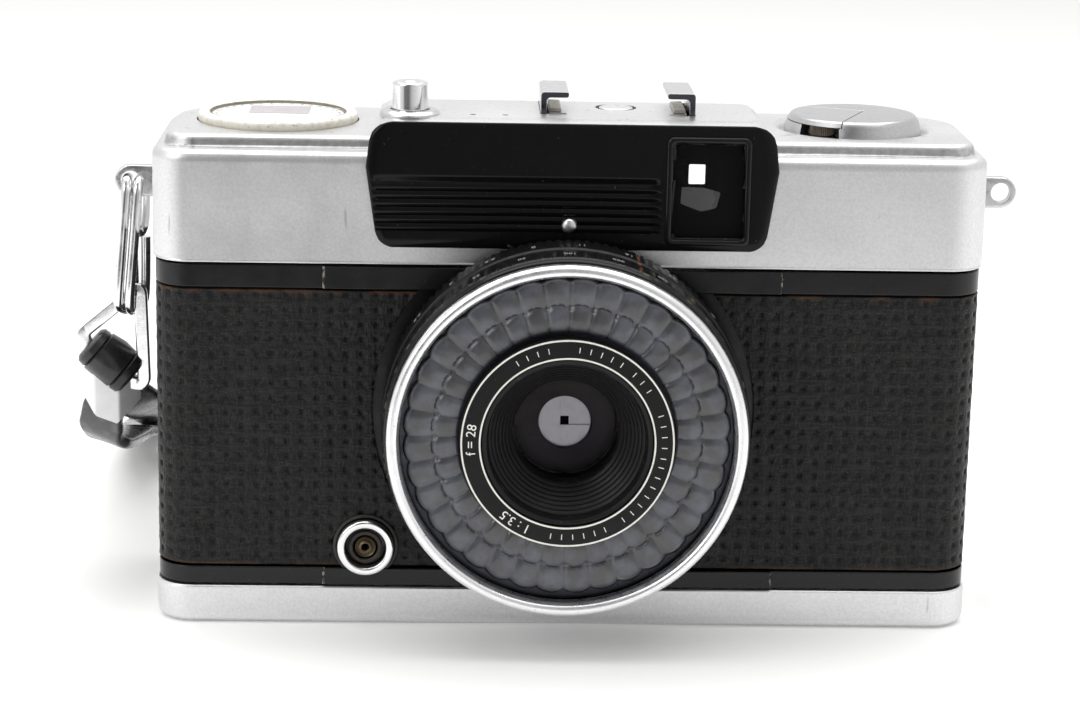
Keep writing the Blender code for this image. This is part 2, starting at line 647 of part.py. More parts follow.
def make_rewind():
    washer("rewind_sleeve", 3.8, 2.8, 58.5, 63.9, REWIND, "brass", steps=20)
    shaft = disc("rewind_shaft", 2.4, 39.0, 64.1, REWIND, "steel", steps=20)
    cut(shaft, box("fork_slot", (36.9, 0.0, 38.0), (38.7, 15.0, 43.0)))
    knob = turned("rewind_knob", [(0, 66.8), (8.4, 66.8), (8.55, 66.65), (9.2, 64.4), (0, 64.4)],
                  REWIND, "satin", steps=40)
    reach = CRANK_LENGTH + GAP
    pocket = [on_knob(-6.0, 0.0), on_knob(reach, 0.0), on_knob(reach, 18.0), on_knob(-6.0, 18.0)]
    notch = [(29.9, -3.0), (34.9, -3.0), (34.9, 4.3), (31.6, 4.3), (29.9, 2.0)]
    cut(knob, prism("crank_pocket", pocket, 65.7, 68.0), prism("handle_notch", notch, 64.0, 68.0))
    crank = turned("rewind_crank", [(0, 66.8), (8.4, 66.8), (8.55, 66.65), (8.75, 66.0), (0, 66.0)],
                   REWIND, "satin", steps=40)
    beyond = [on_knob(CRANK_LENGTH, -20.0), on_knob(CRANK_LENGTH + 20.0, -20.0),
              on_knob(CRANK_LENGTH + 20.0, 20.0), on_knob(CRANK_LENGTH, 20.0)]
    right = [on_knob(-20.0, -20.0), on_knob(30.0, -20.0), on_knob(30.0, GAP), on_knob(-20.0, GAP)]
    cut(crank, prism("crank_end", beyond, 60.0, 70.0), prism("crank_side", right, 60.0, 70.0))
    join(crank, disc("crank_handle", 1.55, 64.6, 66.4, CRANK_HANDLE, steps=24))
    on_axis("rewind_axis", (*REWIND, 65.0), knob, shaft)
    on_axis("crank_axis", (*on_knob(CRANK_LENGTH, 6.0), 66.8), crank)


# ---------------------------------------------------------------- film transport and door

def make_transport():
    wheel = turned("advance_wheel", [(1.5, 55.0), (1.5, 52.9), (WHEEL_R - 0.4, 52.9), (WHEEL_R, 52.5),
                                     (WHEEL_R, 49.8), (WHEEL_R - 0.4, 49.4), (0, 49.4), (0, 55.0)],
                   WHEEL, "satin", steps=36, ring=True)
    on_axis("advance_axis", (*WHEEL, 51.0), wheel)
    spool = turned("take_up_spool",
                   [(0, 48.2), (1.3, 48.2), (1.3, 46.2), (9.5, 46.2), (9.5, 45.2), (5.0, 45.2),
                    (5.0, 9.0), (9.5, 9.0), (9.5, 8.0), (1.3, 8.0), (1.3, 7.4), (0, 7.4)],
                   SPOOL, "black", steps=20)
    on_axis("take_up_axis", (*SPOOL, 27.0), spool)
    drum = turned("film_sprocket",
                  [(0, 48.2), (1.3, 48.2), (1.3, 46.2), (5.9, 46.2), (5.9, 43.6), (3.6, 43.6),
                   (3.6, 15.4), (5.9, 15.4), (5.9, 12.8), (1.3, 12.8), (1.3, 9.4), (0, 9.4)],
                  SPROCKET, "steel", steps=16)
    on_axis("sprocket_axis", (*SPROCKET, 29.0), drum)
    plunger = turned("rewind_release", [(0, 7.9), (1.5, 7.9), (1.5, 1.8), (2.0, 1.8), (2.0, 0.5), (0, 0.5)],
                     SPROCKET, "steel", steps=20)
    on_axis("rewind_release_axis", (*SPROCKET, 3.0), plunger)


def make_door():
    plate = rounded(HINGE[0] + 0.8, 53.4, 20.0, 21.7, 0.4, 0.4, 2)
    door = prism("back_door", plate, 5.6, 48.3, "black")
    join(door, disc("door_knuckle", 1.5, 5.6, 48.3, HINGE, steps=20))
    cut(door, disc("pin_bore", 0.9, 5.0, 49.0, HINGE, steps=16))
    cover = prism("back_leatherette", rounded(-48.8, 52.9, 22.0, 22.5, 0.2, 0.2, 2), 6.6, 47.4,
                  "leather")
    disc("hinge_pin", 0.6, 5.45, 48.4, HINGE, "steel", steps=16)
    pressure = prism("pressure_plate",
                     rounded(-18.5, 17.5, LENS[1] - 15.0, LENS[1] + 15.0, 2.0), 17.4, 18.2, "steel", axis='Y')
    bow = [(-14.0, 19.7), (-13.0, 19.7), (-6.0, 18.9), (5.0, 18.9), (12.0, 19.7), (13.0, 19.7),
           (13.0, 19.4), (12.2, 19.4), (5.1, 18.6), (-6.1, 18.6), (-13.2, 19.4), (-14.0, 19.4)]
    spring = prism("pressure_spring", bow, LENS[1] - 5.0, LENS[1] + 5.0, "steel")
    on_axis("door_axis", (*HINGE, 27.0), door, cover, spring)
    on_axis("pressure_axis", (LENS[0], 17.8, LENS[1]), pressure)
    latch = box("door_latch", (51.9, 12.4, LATCH_Z[0]), (54.3, 15.6, LATCH_Z[1]), "satin")
    on_axis("latch_axis", (53.0, 14.0, 27.0), latch)


# ---------------------------------------------------------------- wrist strap

def make_strap():
    """A wire link through the lug, a three-sided ring, a clamp and the strap's two legs."""
    link = (arc(LUG_Y, 54.7, 1.7, 0, 180, 6) + arc(LUG_Y, 40.9, 1.7, 180, 360, 6))
    wire = tube("strap_link", [(LINK_X, y, z) for y, z in link], 1.0, "chrome", cyclic=True)
    on_axis("strap_link_axis", (LINK_X, LUG_Y, LUG_Z), wire)
    corners = arc(-57.6, 40.9, 0.9, 20, 125, 4) + arc(-63.6, 35.9, 0.9, 125, 235, 4)
    corners += arc(-57.3, 31.0, 0.9, 235, 380, 4)
    tube("strap_ring", [(x, LUG_Y, z) for x, z in corners], 1.3, "chrome", cyclic=True)
    clamp = [(-63.9, 33.6), (-58.9, 29.9), (-57.6, 28.0), (-59.2, 25.7), (-62.2, 24.3), (-64.8, 30.6)]
    prism("strap_clamp", clamp, LUG_Y - 1.7, LUG_Y + 1.7, "chrome", axis='Y')
    tube("wrist_strap", smooth_route(STRAP_ROUTE, 2.2 * STRAP_D), STRAP_D, "leather")


make_casting()
make_covering("leatherette_left", -1)
make_covering("leatherette_right", 1)
make_lens_panel()
make_top_cover()
make_fascia()
make_base()
make_lug("lug_left", -1)
make_lug("lug_right", 1)
make_lens_group()
make_blades()
make_setting_rings()
make_sync_socket()
make_finder()
make_meter()
make_shoe()
make_counter()
make_release()
make_rewind()
make_transport()
make_door()
make_strap()
for item in PARTS.objects:
    if item.type == 'MESH':
        smooth(item)
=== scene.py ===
"""Looks of the half-frame camera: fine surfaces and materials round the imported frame.

Sizes are in millimetres and MM turns them into metres.  +X is to the right as seen from the lens
side, +Y runs from the lens to the back door and +Z is up, with z = 0 under the base plate.
"""
import json
import math

import bmesh
import bpy
from mathutils import Matrix, Vector


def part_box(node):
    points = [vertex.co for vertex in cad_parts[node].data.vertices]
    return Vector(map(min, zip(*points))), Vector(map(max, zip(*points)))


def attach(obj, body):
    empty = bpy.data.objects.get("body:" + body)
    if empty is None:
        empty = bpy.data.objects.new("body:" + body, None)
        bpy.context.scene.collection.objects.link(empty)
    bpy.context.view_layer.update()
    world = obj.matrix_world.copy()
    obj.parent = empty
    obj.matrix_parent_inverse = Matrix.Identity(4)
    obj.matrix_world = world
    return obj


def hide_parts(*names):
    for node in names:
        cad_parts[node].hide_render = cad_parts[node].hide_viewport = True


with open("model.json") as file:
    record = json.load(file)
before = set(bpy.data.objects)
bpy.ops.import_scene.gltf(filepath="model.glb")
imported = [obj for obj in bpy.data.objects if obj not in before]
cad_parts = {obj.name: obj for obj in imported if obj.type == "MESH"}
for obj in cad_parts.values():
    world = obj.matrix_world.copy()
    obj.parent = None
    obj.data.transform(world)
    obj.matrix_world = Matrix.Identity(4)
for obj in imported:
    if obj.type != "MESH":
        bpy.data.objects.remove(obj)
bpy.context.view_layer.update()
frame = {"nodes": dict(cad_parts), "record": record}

MM = 0.001
SHARP = 38          # edges steeper than this many degrees stay crisp or get a bevel
CAD_EDGE = 0.08     # bevel on the CAD pieces that stay in view
WELD = 1e-8         # metres; points nearer than this are one


# ================================================================ places read from the frame

def middle(node, *axes):
    """The centre of a CAD node along the named axes, in millimetres."""
    low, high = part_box(node)
    centre = (low + high) / 2 / MM
    return tuple(centre["xyz".index(axis)] for axis in axes)


def reach(node, axis, side):
    """The low (0) or high (1) end of a CAD node along an axis, in millimetres."""
    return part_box(node)[side]["xyz".index(axis)] / MM


LENS = middle("front_trim_ring", "x", "z")
SYNC = middle("sync_collar", "x", "z")
COUNTER = middle("counter_bezel", "x", "y")
REWIND = middle("rewind_sleeve", "x", "y")
BUTTON = middle("shutter_button", "x", "y")
WHEEL = middle("advance_wheel", "x", "y")
EYEPIECE = middle("eyepiece_frame", "x", "z")
TRIPOD = middle("tripod_bush", "x", "y")
STUD = middle("index_stud", "x", "z")
SHOE_X = middle("accessory_shoe", "x")[0]
LUG_Y = middle("lug_left", "y")[0]
FRONT = reach("top_cover", "y", 0)
BACK = reach("top_cover", "y", 1)
HALF_W = reach("top_cover", "x", 1)
HUMP_TOP = reach("top_cover", "z", 1)
COVER_LOW = reach("top_cover", "z", 0)
BASE_TOP = reach("base_plate", "z", 1)
CORNER = 5.0
PANEL_LEFT, PANEL_RIGHT = -31.9, 27.5
LUG_X, LUG_Z = 58.0, 56.4


# ================================================================ materials

class Finish:
    """A procedural material, built round one Principled shader."""

    def __init__(self, name, colour, roughness, metallic=0.0, **values):
        self.made = bpy.data.materials.new(name)
        self.made.use_nodes = True
        self.tree = self.made.node_tree
        self.shader = self.tree.nodes["Principled BSDF"]
        self.colour = colour
        self.fix(self.shader, "Base Color", (*colour, 1.0))
        self.fix(self.shader, "Roughness", roughness)
        self.fix(self.shader, "Metallic", metallic)
        for key, value in values.items():
            self.fix(self.shader, key.replace("_", " "), value)
        self.place = self.node("ShaderNodeTexCoord").outputs["Object"]

    @staticmethod
    def fix(node, socket, value):
        node.inputs[socket].default_value = value

    def node(self, kind, **values):
        made = self.tree.nodes.new(kind)
        for key, value in values.items():
            setattr(made, key, value)
        return made

    def link(self, source, target):
        self.tree.links.new(source, target)

    def stretched(self, x, y, z):
        made = self.node("ShaderNodeMapping")
        made.inputs["Scale"].default_value = (x, y, z)
        self.link(self.place, made.inputs["Vector"])
        return made.outputs["Vector"]

    def noise(self, size, detail=2.0, place=None):
        """Noise whose features are about size millimetres across."""
        made = self.node("ShaderNodeTexNoise")
        self.fix(made, "Scale", 1.0 / (size * MM))
        self.fix(made, "Detail", detail)
        self.link(place or self.place, made.inputs["Vector"])
        return made.outputs["Fac"]

    def ramp(self, source, *stops):
        """A value taken through (position, grey or colour) stops."""
        made = self.node("ShaderNodeValToRGB")
        line = made.color_ramp
        while len(line.elements) < len(stops):
            line.elements.new(0.5)
        for element, (position, tone) in zip(line.elements, stops):
            element.position = position
            full = (tone, tone, tone) if isinstance(tone, (int, float)) else tone
            element.color = (*full, 1.0)
        self.link(source, made.inputs["Fac"])
        return made.outputs["Color"]

    def maths(self, operation, first, second):
        made = self.node("ShaderNodeMath", operation=operation)
        for socket, value in zip(made.inputs, (first, second)):
            if isinstance(value, (int, float)):
                socket.default_value = value
            else:
                self.link(value, socket)
        return made.outputs["Value"]

    def along(self, axis, *stops):
        """A ramp over a coordinate; the stops' positions are in millimetres and go up."""
        parts = self.node("ShaderNodeSeparateXYZ")
        self.link(self.place, parts.inputs["Vector"])
        begin, end = stops[0][0], stops[-1][0]
        scale = self.node("ShaderNodeMapRange")
        self.link(parts.outputs[axis], scale.inputs["Value"])
        self.fix(scale, "From Min", begin * MM)
        self.fix(scale, "From Max", end * MM)
        return self.ramp(scale.outputs["Result"],
                         *[((where - begin) / (end - begin), tone) for where, tone in stops])

    def mix(self, factor, first, second):
        """A blend of two colours, each a colour or a socket."""
        made = self.node("ShaderNodeMix", data_type='RGBA')
        self.link(factor, made.inputs["Factor"])
        for key, value in ((6, first), (7, second)):
            if isinstance(value, tuple):
                made.inputs[key].default_value = (*value, 1.0)
            else:
                self.link(value, made.inputs[key])
        return made.outputs[2]

    def bump(self, height, distance):
        """Relief of that height in millimetres; calls add up."""
        made = self.node("ShaderNodeBump")
        self.fix(made, "Distance", distance * MM)
        self.link(height, made.inputs["Height"])
        present = self.shader.inputs["Normal"]
        if present.is_linked:
            self.link(present.links[0].from_socket, made.inputs["Normal"])
        self.link(made.outputs["Normal"], present)

    def grain(self, size, detail, height):
        self.bump(self.noise(size, detail), height)

    def specks(self, size, detail, low, high):
        """Patches of noise: 0 below the low level, 1 above the high one."""
        return self.ramp(self.noise(size, detail), (low, 0.0), (high, 1.0))

    def paint(self, socket, source):
        self.link(source, self.shader.inputs[socket])

    def sheen(self, size, detail, low, high):
        """Roughness that drifts with noise, between two (level, roughness) stops."""
        self.paint("Roughness", self.ramp(self.noise(size, detail), low, high))

    def wear(self, factor, colour, share=1.0):
        """The present colour worn towards another where factor is high."""
        present = self.shader.inputs["Base Color"]
        first = present.links[0].from_socket if present.is_linked else self.colour
        if share != 1.0:
            factor = self.maths('MULTIPLY', factor, share)
        self.paint("Base Color", self.mix(factor, first, colour))

    def ridges(self, low, high):
        """1 on outward edges of the shape, 0 elsewhere."""
        made = self.node("ShaderNodeNewGeometry").outputs["Pointiness"]
        return self.ramp(made, (low, 0.0), (high, 1.0))


def satin_silver(name="satin_silver", tone=0.72, roughness=0.36):
    """Satin plating: blasted grain, smudges, hairline marks and painted shade along the ledge's concave step.
    """
    it = Finish(name, (tone, tone, tone * 1.015), roughness, 1.0)
    smudge = it.noise(9.0, 4.0)
    it.paint("Roughness", it.ramp(smudge, (0.3, roughness * 0.86), (0.7, roughness * 1.16)))
    low, high = tone * 0.93, tone * 1.06
    it.paint("Base Color", it.ramp(it.noise(0.35, 3.0), (0.3, (low, low, low * 1.015)),
                                   (0.7, (high, high, high * 1.01))))
    hair = it.ramp(it.noise(1.4, 1.0, it.stretched(1.0, 1.0, 0.14)), (0.735, 0.0), (0.76, 1.0))
    it.wear(hair, (0.30, 0.30, 0.30), 0.5)
    # Painted shade: a darker band, broken up by noise, along the concave step between the side walls and the
    # plateau.
    step = it.along("Z", (63.2, 0.0), (63.5, 1.0), (64.2, 1.0), (64.6, 0.0))
    patchy = it.ramp(it.noise(0.8, 4.0), (0.3, 0.5), (0.7, 1.0))
    it.wear(it.maths('MULTIPLY', step, patchy), (0.20, 0.19, 0.18), 0.6)
    it.grain(0.16, 3.0, 0.012)
    it.bump(it.noise(0.5, 2.0, it.stretched(0.05, 0.05, 2.0)), 0.006)
    return it.made


def chrome(name="bright_chrome", tone=0.80, roughness=0.10):
    """Polished plating with hairline scratches and a few dull spots."""
    it = Finish(name, (tone, tone, tone * 1.01), roughness, 1.0)
    it.sheen(1.6, 3.0, (0.35, roughness * 0.7), (0.75, roughness * 2.4))
    it.wear(it.specks(0.6, 4.0, 0.66, 0.74), (0.36, 0.33, 0.28), 0.6)
    it.bump(it.noise(0.5, 2.0, it.stretched(1.0, 1.0, 9.0)), 0.003)
    return it.made


def black_enamel(name="black_enamel", roughness=0.22, tone=0.008, shine=0.3):
    """Black stove enamel: glossy, a little orange-peeled, with specks of dust."""
    it = Finish(name, (tone, tone, tone * 1.05), roughness, Specular_IOR_Level=shine)
    it.grain(0.9, 2.0, 0.008)
    it.sheen(4.0, 5.0, (0.3, roughness * 0.75), (0.75, roughness * 1.6))
    it.wear(it.specks(0.35, 2.0, 0.72, 0.77), (0.10, 0.10, 0.09), 0.5)
    return it


def matt_black(name="matt_black", tone=0.010, roughness=0.6, shine=0.4):
    it = Finish(name, (tone, tone, tone), roughness, Specular_IOR_Level=shine)
    it.grain(0.12, 3.0, 0.015)
    it.sheen(2.0, 4.0, (0.3, roughness * 0.8), (0.7, roughness * 1.15))
    it.wear(it.specks(0.5, 3.0, 0.66, 0.76), (0.07, 0.07, 0.07), 0.5)
    return it.made


def steel(name="machined_steel", tone=0.46):
    it = Finish(name, (tone, tone, tone * 1.01), 0.30, 1.0)
    it.bump(it.noise(0.3, 2.0, it.stretched(1.0, 1.0, 12.0)), 0.006)
    it.sheen(1.5, 3.0, (0.3, 0.22), (0.7, 0.42))
    it.wear(it.specks(0.9, 4.0, 0.55, 0.75), (0.22, 0.21, 0.19), 0.6)
    return it.made


def brass():
    it = Finish("old_brass", (0.42, 0.30, 0.13), 0.34, 1.0)
    it.wear(it.specks(0.8, 4.0, 0.4, 0.7), (0.16, 0.10, 0.05), 0.7)
    it.sheen(0.6, 3.0, (0.3, 0.25), (0.7, 0.5))
    it.grain(0.2, 2.0, 0.01)
    return it.made


def ivory(name="ivory_plastic", tone=(0.80, 0.78, 0.72), grime=0.45):
    """Slightly yellowed ivory plastic with a little grime."""
    it = Finish(name, tone, 0.38)
    it.wear(it.specks(0.9, 5.0, 0.50, 0.72), (0.46, 0.40, 0.24), grime)
    it.sheen(2.0, 3.0, (0.3, 0.30), (0.7, 0.48))
    it.grain(0.4, 2.0, 0.008)
    return it.made


def clear_glass(name="clear_glass", ior=1.5, tint=(1.0, 1.0, 1.0)):
    it = Finish(name, tint, 0.02, IOR=ior)
    it.fix(it.shader, "Transmission Weight", 1.0)
    it.sheen(1.2, 4.0, (0.4, 0.0), (0.8, 0.06))
    it.grain(3.0, 3.0, 0.001)
    return it.made


def red_flag():
    it = Finish("red_flag", (0.42, 0.02, 0.015), 0.45)
    it.grain(0.3, 2.0, 0.01)
    it.wear(it.noise(0.8, 3.0), (0.30, 0.03, 0.02), 0.5)
    return it.made


def leatherette(name="leatherette", rust_share=0.9):
    """Black vinyl cloth: fine threads, dusty in places and rusty along its edges."""
    it = Finish(name, (0.006, 0.0057, 0.0057), 0.48, Specular_IOR_Level=0.2)
    for stretch in ((0.2, 1.0, 1.4), (1.4, 1.0, 0.4)):
        threads = it.noise(0.42, 1.0, it.stretched(*stretch))
        it.bump(threads, 0.10)
        it.wear(it.ramp(threads, (0.5, 0.0), (0.62, 1.0)), (0.018, 0.0172, 0.0172), 0.7)
    it.sheen(3.0, 4.0, (0.3, 0.38), (0.7, 0.58))
    it.wear(it.specks(0.22, 3.0, 0.56, 0.74), (0.055, 0.053, 0.05), 0.6)
    rust = it.maths('MULTIPLY', it.along("Z", (8.0, 1.0), (8.5, 0.0), (44.5, 0.0), (45.2, 1.0)),
                    it.specks(3.5, 4.0, 0.42, 0.55))
    it.wear(rust, (0.075, 0.035, 0.016), rust_share)
    return it.made


def strap_leather():
    # Partly painted reflection: the black strap gets a dark grey base and lighter grey patches for the grey
    # that its gloss shows.
    it = Finish("strap_leather", (0.085, 0.085, 0.09), 0.20)
    it.grain(0.5, 3.0, 0.03)
    it.sheen(2.5, 4.0, (0.3, 0.18), (0.7, 0.34))
    it.wear(it.specks(2.0, 5.0, 0.5, 0.72), (0.22, 0.215, 0.21), 0.6)
    return it.made


def selenium():
    it = Finish("selenium", (0.030, 0.033, 0.042), 0.35, 0.4)
    it.wear(it.noise(1.5, 4.0), (0.05, 0.05, 0.065), 0.8)
    it.sheen(1.0, 3.0, (0.3, 0.25), (0.7, 0.5))
    return it.made


def lenslets():
    """Milky grey plastic over the light cell, with random bluish patches: lighter on the domes and dark in
    the seams, where painted shade fills the hollows.
    """
    it = Finish("cell_lenslets", (0.052, 0.052, 0.056), 0.26)
    it.fix(it.shader, "Coat Weight", 0.4)
    it.fix(it.shader, "Coat Roughness", 0.14)
    it.wear(it.specks(2.6, 5.0, 0.42, 0.64), (0.095, 0.10, 0.125), 0.8)
    # Painted shade: darker where the surface is hollow, in the seams between the lenslets.
    it.wear(it.ramp(it.node("ShaderNodeNewGeometry").outputs["Pointiness"], (0.40, 1.0), (0.485, 0.0)),
            (0.018, 0.018, 0.020), 0.7)
    it.grain(0.5, 4.0, 0.02)
    return it.made


SATIN = satin_silver()
CHROME = chrome()
ENAMEL = black_enamel().made
MATT = matt_black()
STEEL = steel()
BRASS = brass()
IVORY = ivory()
GLASS = clear_glass()
RED = red_flag()
LEATHER = leatherette()
STRAP = strap_leather()
CELL = selenium()
LENSLETS = lenslets()
WHITE_PAINT = ivory("white_paint", (0.80, 0.79, 0.74), 0.35)
SLOT_LOOKS = {
    "satin_silver": SATIN, "bright_chrome": CHROME, "black_enamel": ENAMEL, "matt_black": MATT,
    "leatherette": LEATHER, "strap_leather": STRAP, "ivory_plastic": IVORY, "clear_glass": GLASS,
    "selenium": CELL, "brass": BRASS, "steel": STEEL, "red_flag": RED,
}
SLOTS = {part["node"]: part["material_slot"] for part in frame["record"]["subparts"]}


# ================================================================ shapes

def arc(cx, cy, radius, start, stop, count):
    """Points along an arc, in degrees, both ends included."""
    turn = math.radians(stop - start) / count
    begin = math.radians(start)
    return [(cx + radius * math.cos(begin + turn * i), cy + radius * math.sin(begin + turn * i))
            for i in range(count + 1)]


def corners(x0, x1, y0, y1):
    """A rectangle's four corners, counter-clockwise."""
    return [(x0, y0), (x1, y0), (x1, y1), (x0, y1)]


def rounded(x0, x1, y0, y1, front_r, back_r=None, count=12):
    """A rectangle with rounded corners, counter-clockwise."""
    back_r = front_r if back_r is None else back_r
    return (arc(x0 + front_r, y0 + front_r, front_r, 180, 270, count)
            + arc(x1 - front_r, y0 + front_r, front_r, 270, 360, count)
            + arc(x1 - back_r, y1 - back_r, back_r, 0, 90, count)
            + arc(x0 + back_r, y1 - back_r, back_r, 90, 180, count))


def softened(points, radius, closed=True, steps=3):
    """The same outline with each corner drawn as a small curve."""
    made = []
    count = len(points)
    for i, point in enumerate(points):
        here = Vector(point)
        if not closed and i in (0, count - 1):
            made.append(tuple(here))
            continue
        before = Vector(points[i - 1]) - here
        after = Vector(points[(i + 1) % count]) - here
        cut = min(radius, before.length * 0.45, after.length * 0.45)
        start = here + before.normalized() * cut
        end = here + after.normalized() * cut
        for k in range(steps + 1):
            t = k / steps
            made.append(tuple(start * (1 - t) ** 2 + here * (2 * t * (1 - t)) + end * t * t))
    return made


def turning(outline):
    """Twice an outline's area, positive when it runs counter-clockwise."""
    return sum(a[0] * b[1] - b[0] * a[1] for a, b in zip(outline, outline[1:] + outline[:1]))


def inset(outline, distance):
    """An outline drawn inwards by a distance."""
    if turning(outline) < 0:
        distance = -distance
    made = []
    count = len(outline)
    for i, point in enumerate(outline):
        here = Vector(point)
        along = [(here - Vector(outline[i - 1])), (Vector(outline[(i + 1) % count]) - here)]
        along = [edge.normalized() for edge in along if edge.length > 1e-9]
        normal = sum((Vector((-edge.y, edge.x)) for edge in along), Vector((0.0, 0.0))).normalized()
        lean = max(0.4, normal.dot(Vector((-along[0].y, along[0].x))))
        made.append(tuple(here + normal * (distance / lean)))
    return made


def oriented(axis, across, up, depth):
    """A point from its flat place and its depth: 'Z' faces up, 'Y' faces the lens side."""
    if axis == 'Z':
        return (across, up, depth)
    if axis == 'Y':
        return (across, -depth, up)
    return (depth, across, up)


def shown_object(name, data):
    """A new object, linked into the scene."""
    made = bpy.data.objects.new(name, data)
    bpy.context.scene.collection.objects.link(made)
    return made


def solid_mesh(name, points, faces, weld):
    """A mesh from points in millimetres, with its faces turned outwards."""
    mesh = bpy.data.meshes.new(name)
    mesh.from_pydata([[c * MM for c in point] for point in points], [], faces)
    cage = bmesh.new()
    cage.from_mesh(mesh)
    if weld:
        bmesh.ops.remove_doubles(cage, verts=cage.verts, dist=WELD)
    bmesh.ops.recalc_face_normals(cage, faces=cage.faces)
    cage.to_mesh(mesh)
    cage.free()
    return mesh


def piece(name, points, faces, look, body="root", stands_for=(), sharp=SHARP, slot=None, soft=0.0):
    """A mesh in millimetres that rides a body and takes the place of CAD nodes."""
    made = shown_object(name, solid_mesh(name, points, faces, True))
    return dressed(made, look, body, stands_for, sharp, soft)


def soft_edges(target, width, sharp):
    """A fine bevel on the edges steeper than an angle."""
    bevel = target.modifiers.new("edges", 'BEVEL')
    bevel.width = width * MM
    bevel.segments = 2
    bevel.limit_method = 'ANGLE'
    bevel.angle_limit = math.radians(sharp)
    bevel.harden_normals = True


def dressed(made, look, body="root", stands_for=(), sharp=SHARP, soft=0.0):
    """Shading, edges, material and CAD body of a finished piece."""
    made.data.shade_smooth()
    made.data.set_sharp_from_angle(angle=math.radians(sharp))
    made.data.materials.clear()
    made.data.materials.append(look)
    if soft:
        soft_edges(made, soft, sharp)
    else:
        flat = made.modifiers.new("normals", 'WEIGHTED_NORMAL')
        flat.keep_sharp = True
    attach(made, body)
    if stands_for:
        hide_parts(*stands_for)
    return made


def joined_loops(loops, ends=True, around=True):
    """Points and faces that join equal loops of points, with their ends filled in or open."""
    points = [point for loop in loops for point in loop]
    size = len(loops[0])
    faces = []
    last = size if around else size - 1
    for k in range(len(loops) - 1):
        for i in range(last):
            j = (i + 1) % size
            faces.append((k * size + i, k * size + j, (k + 1) * size + j, (k + 1) * size + i))
    if ends:
        faces.append(tuple(reversed(range(size))))
        faces.append(tuple(range((len(loops) - 1) * size, len(loops) * size)))
    return points, faces


def joined(name, loops, look, ends=True, around=True, **more):
    """A piece whose skin joins loops of points, with or without filled ends."""
    points, faces = joined_loops(loops, ends, around)
    return piece(name, points, faces, look, **more)


def slab(name, outline, low, high, look, edge=0.2, axis='Z', low_edge=None, **more):
    """A plate with rounded edges, from its outline; low and high are its depths."""
    low_edge = edge if low_edge is None else low_edge
    loops = []
    for size, level, sign in ((low_edge, low, 1), (edge, high, -1)):
        turns = range(5) if sign > 0 else reversed(range(5))
        for k in turns:
            turn = math.pi / 2 * k / 4
            drawn = inset(outline, size * (1 - math.sin(turn))) if size else outline
            depth = level + sign * size * (1 - math.cos(turn))
            loops.append([oriented(axis, x, y, depth) for x, y in drawn])
    return joined(name, loops, look, **more)


def lathe(name, profile, centre, look, axis='Z', steps=96, closed=True, wave=None, **more):
    """A turned piece; wave(angle, radius, depth) may shift each point's radius and depth."""
    loops = []
    for i in range(steps):
        angle = 2 * math.pi * i / steps
        loop = []
        for radius, depth in profile:
            if wave:
                radius, depth = wave(angle, radius, depth)
            loop.append(oriented(axis, centre[0] + radius * math.cos(angle),
                                 centre[1] + radius * math.sin(angle), depth))
        loops.append(loop)
    loops.append(loops[0])
    return joined(name, loops, look, False, closed, **more)


def tube(name, route, radius, look, sides=16, **more):
    """A round wire along a route."""
    section = circle((0, 0), radius, sides)
    loops = []
    across = None
    last = len(route) - 1
    for i, point in enumerate(route):
        here = Vector(point)
        ahead = (Vector(route[min(i + 1, last)]) - Vector(route[max(i - 1, 0)])).normalized()
        if across is None:
            across = ahead.orthogonal().normalized()
        across = (across - ahead * across.dot(ahead)).normalized()
        up = ahead.cross(across)
        loops.append([tuple(here + across * a + up * b) for a, b in section])
    return joined(name, loops, look, **more)


def sheet(name, rows, columns, place, thick, look, **more):
    """A closed sheet over a grid: place(row, column, lift) gives its points, thick its depth."""
    wide = len(columns)
    count = wide * len(rows)
    points = [place(row, column, lift) for lift in (0.0, -thick) for row in rows for column in columns]
    faces = []
    for r in range(len(rows) - 1):
        for c in range(wide - 1):
            quad = (r * wide + c, r * wide + c + 1, (r + 1) * wide + c + 1, (r + 1) * wide + c)
            faces += [quad, tuple(i + count for i in reversed(quad))]
    top = len(rows) - 1
    rim = ([(0, c) for c in range(wide - 1)] + [(r, wide - 1) for r in range(top)]
           + [(top, c) for c in range(wide - 1, 0, -1)] + [(r, 0) for r in range(top, 0, -1)])
    rim = [r * wide + c for r, c in rim]
    for a, b in zip(rim, rim[1:] + rim[:1]):
        faces.append((a, a + count, b + count, b))
    return piece(name, points, faces, look, **more)


def carve(target, *cutters):
    """Cut shapes out of a piece, for good."""
    for cutter in cutters:
        step = target.modifiers.new("cut", 'BOOLEAN')
        step.object = cutter
        step.solver = 'EXACT'
    bpy.context.view_layer.update()
    seen = target.evaluated_get(bpy.context.evaluated_depsgraph_get())
    target.data = bpy.data.meshes.new_from_object(seen)
    target.modifiers.clear()
    for cutter in cutters:
        bpy.data.objects.remove(cutter)


def cutter(loops):
    """A closed shape between loops, for carve."""
    return shown_object("cutter", solid_mesh("cutter", *joined_loops(loops), False))


def plug(outline, low, high, axis='Z'):
    return cutter([[oriented(axis, x, y, depth) for x, y in outline] for depth in (low, high)])


def block(x0, x1, y0, y1, z0, z1):
    return plug(corners(x0, x1, y0, y1), z0, z1)


def circle(centre, radius, count=64):
    return arc(*centre, radius, 0, 360, count)[:-1]


def blended(value, stops):
    """A value read from (position, level) stops with straight lines between them."""
    if value <= stops[0][0]:
        return stops[0][1]
    for (a, p), (b, q) in zip(stops, stops[1:]):
        if value <= b:
            return p + (q - p) * (value - a) / (b - a)
    return stops[-1][1]


# ================================================================ CAD pieces that stay in view

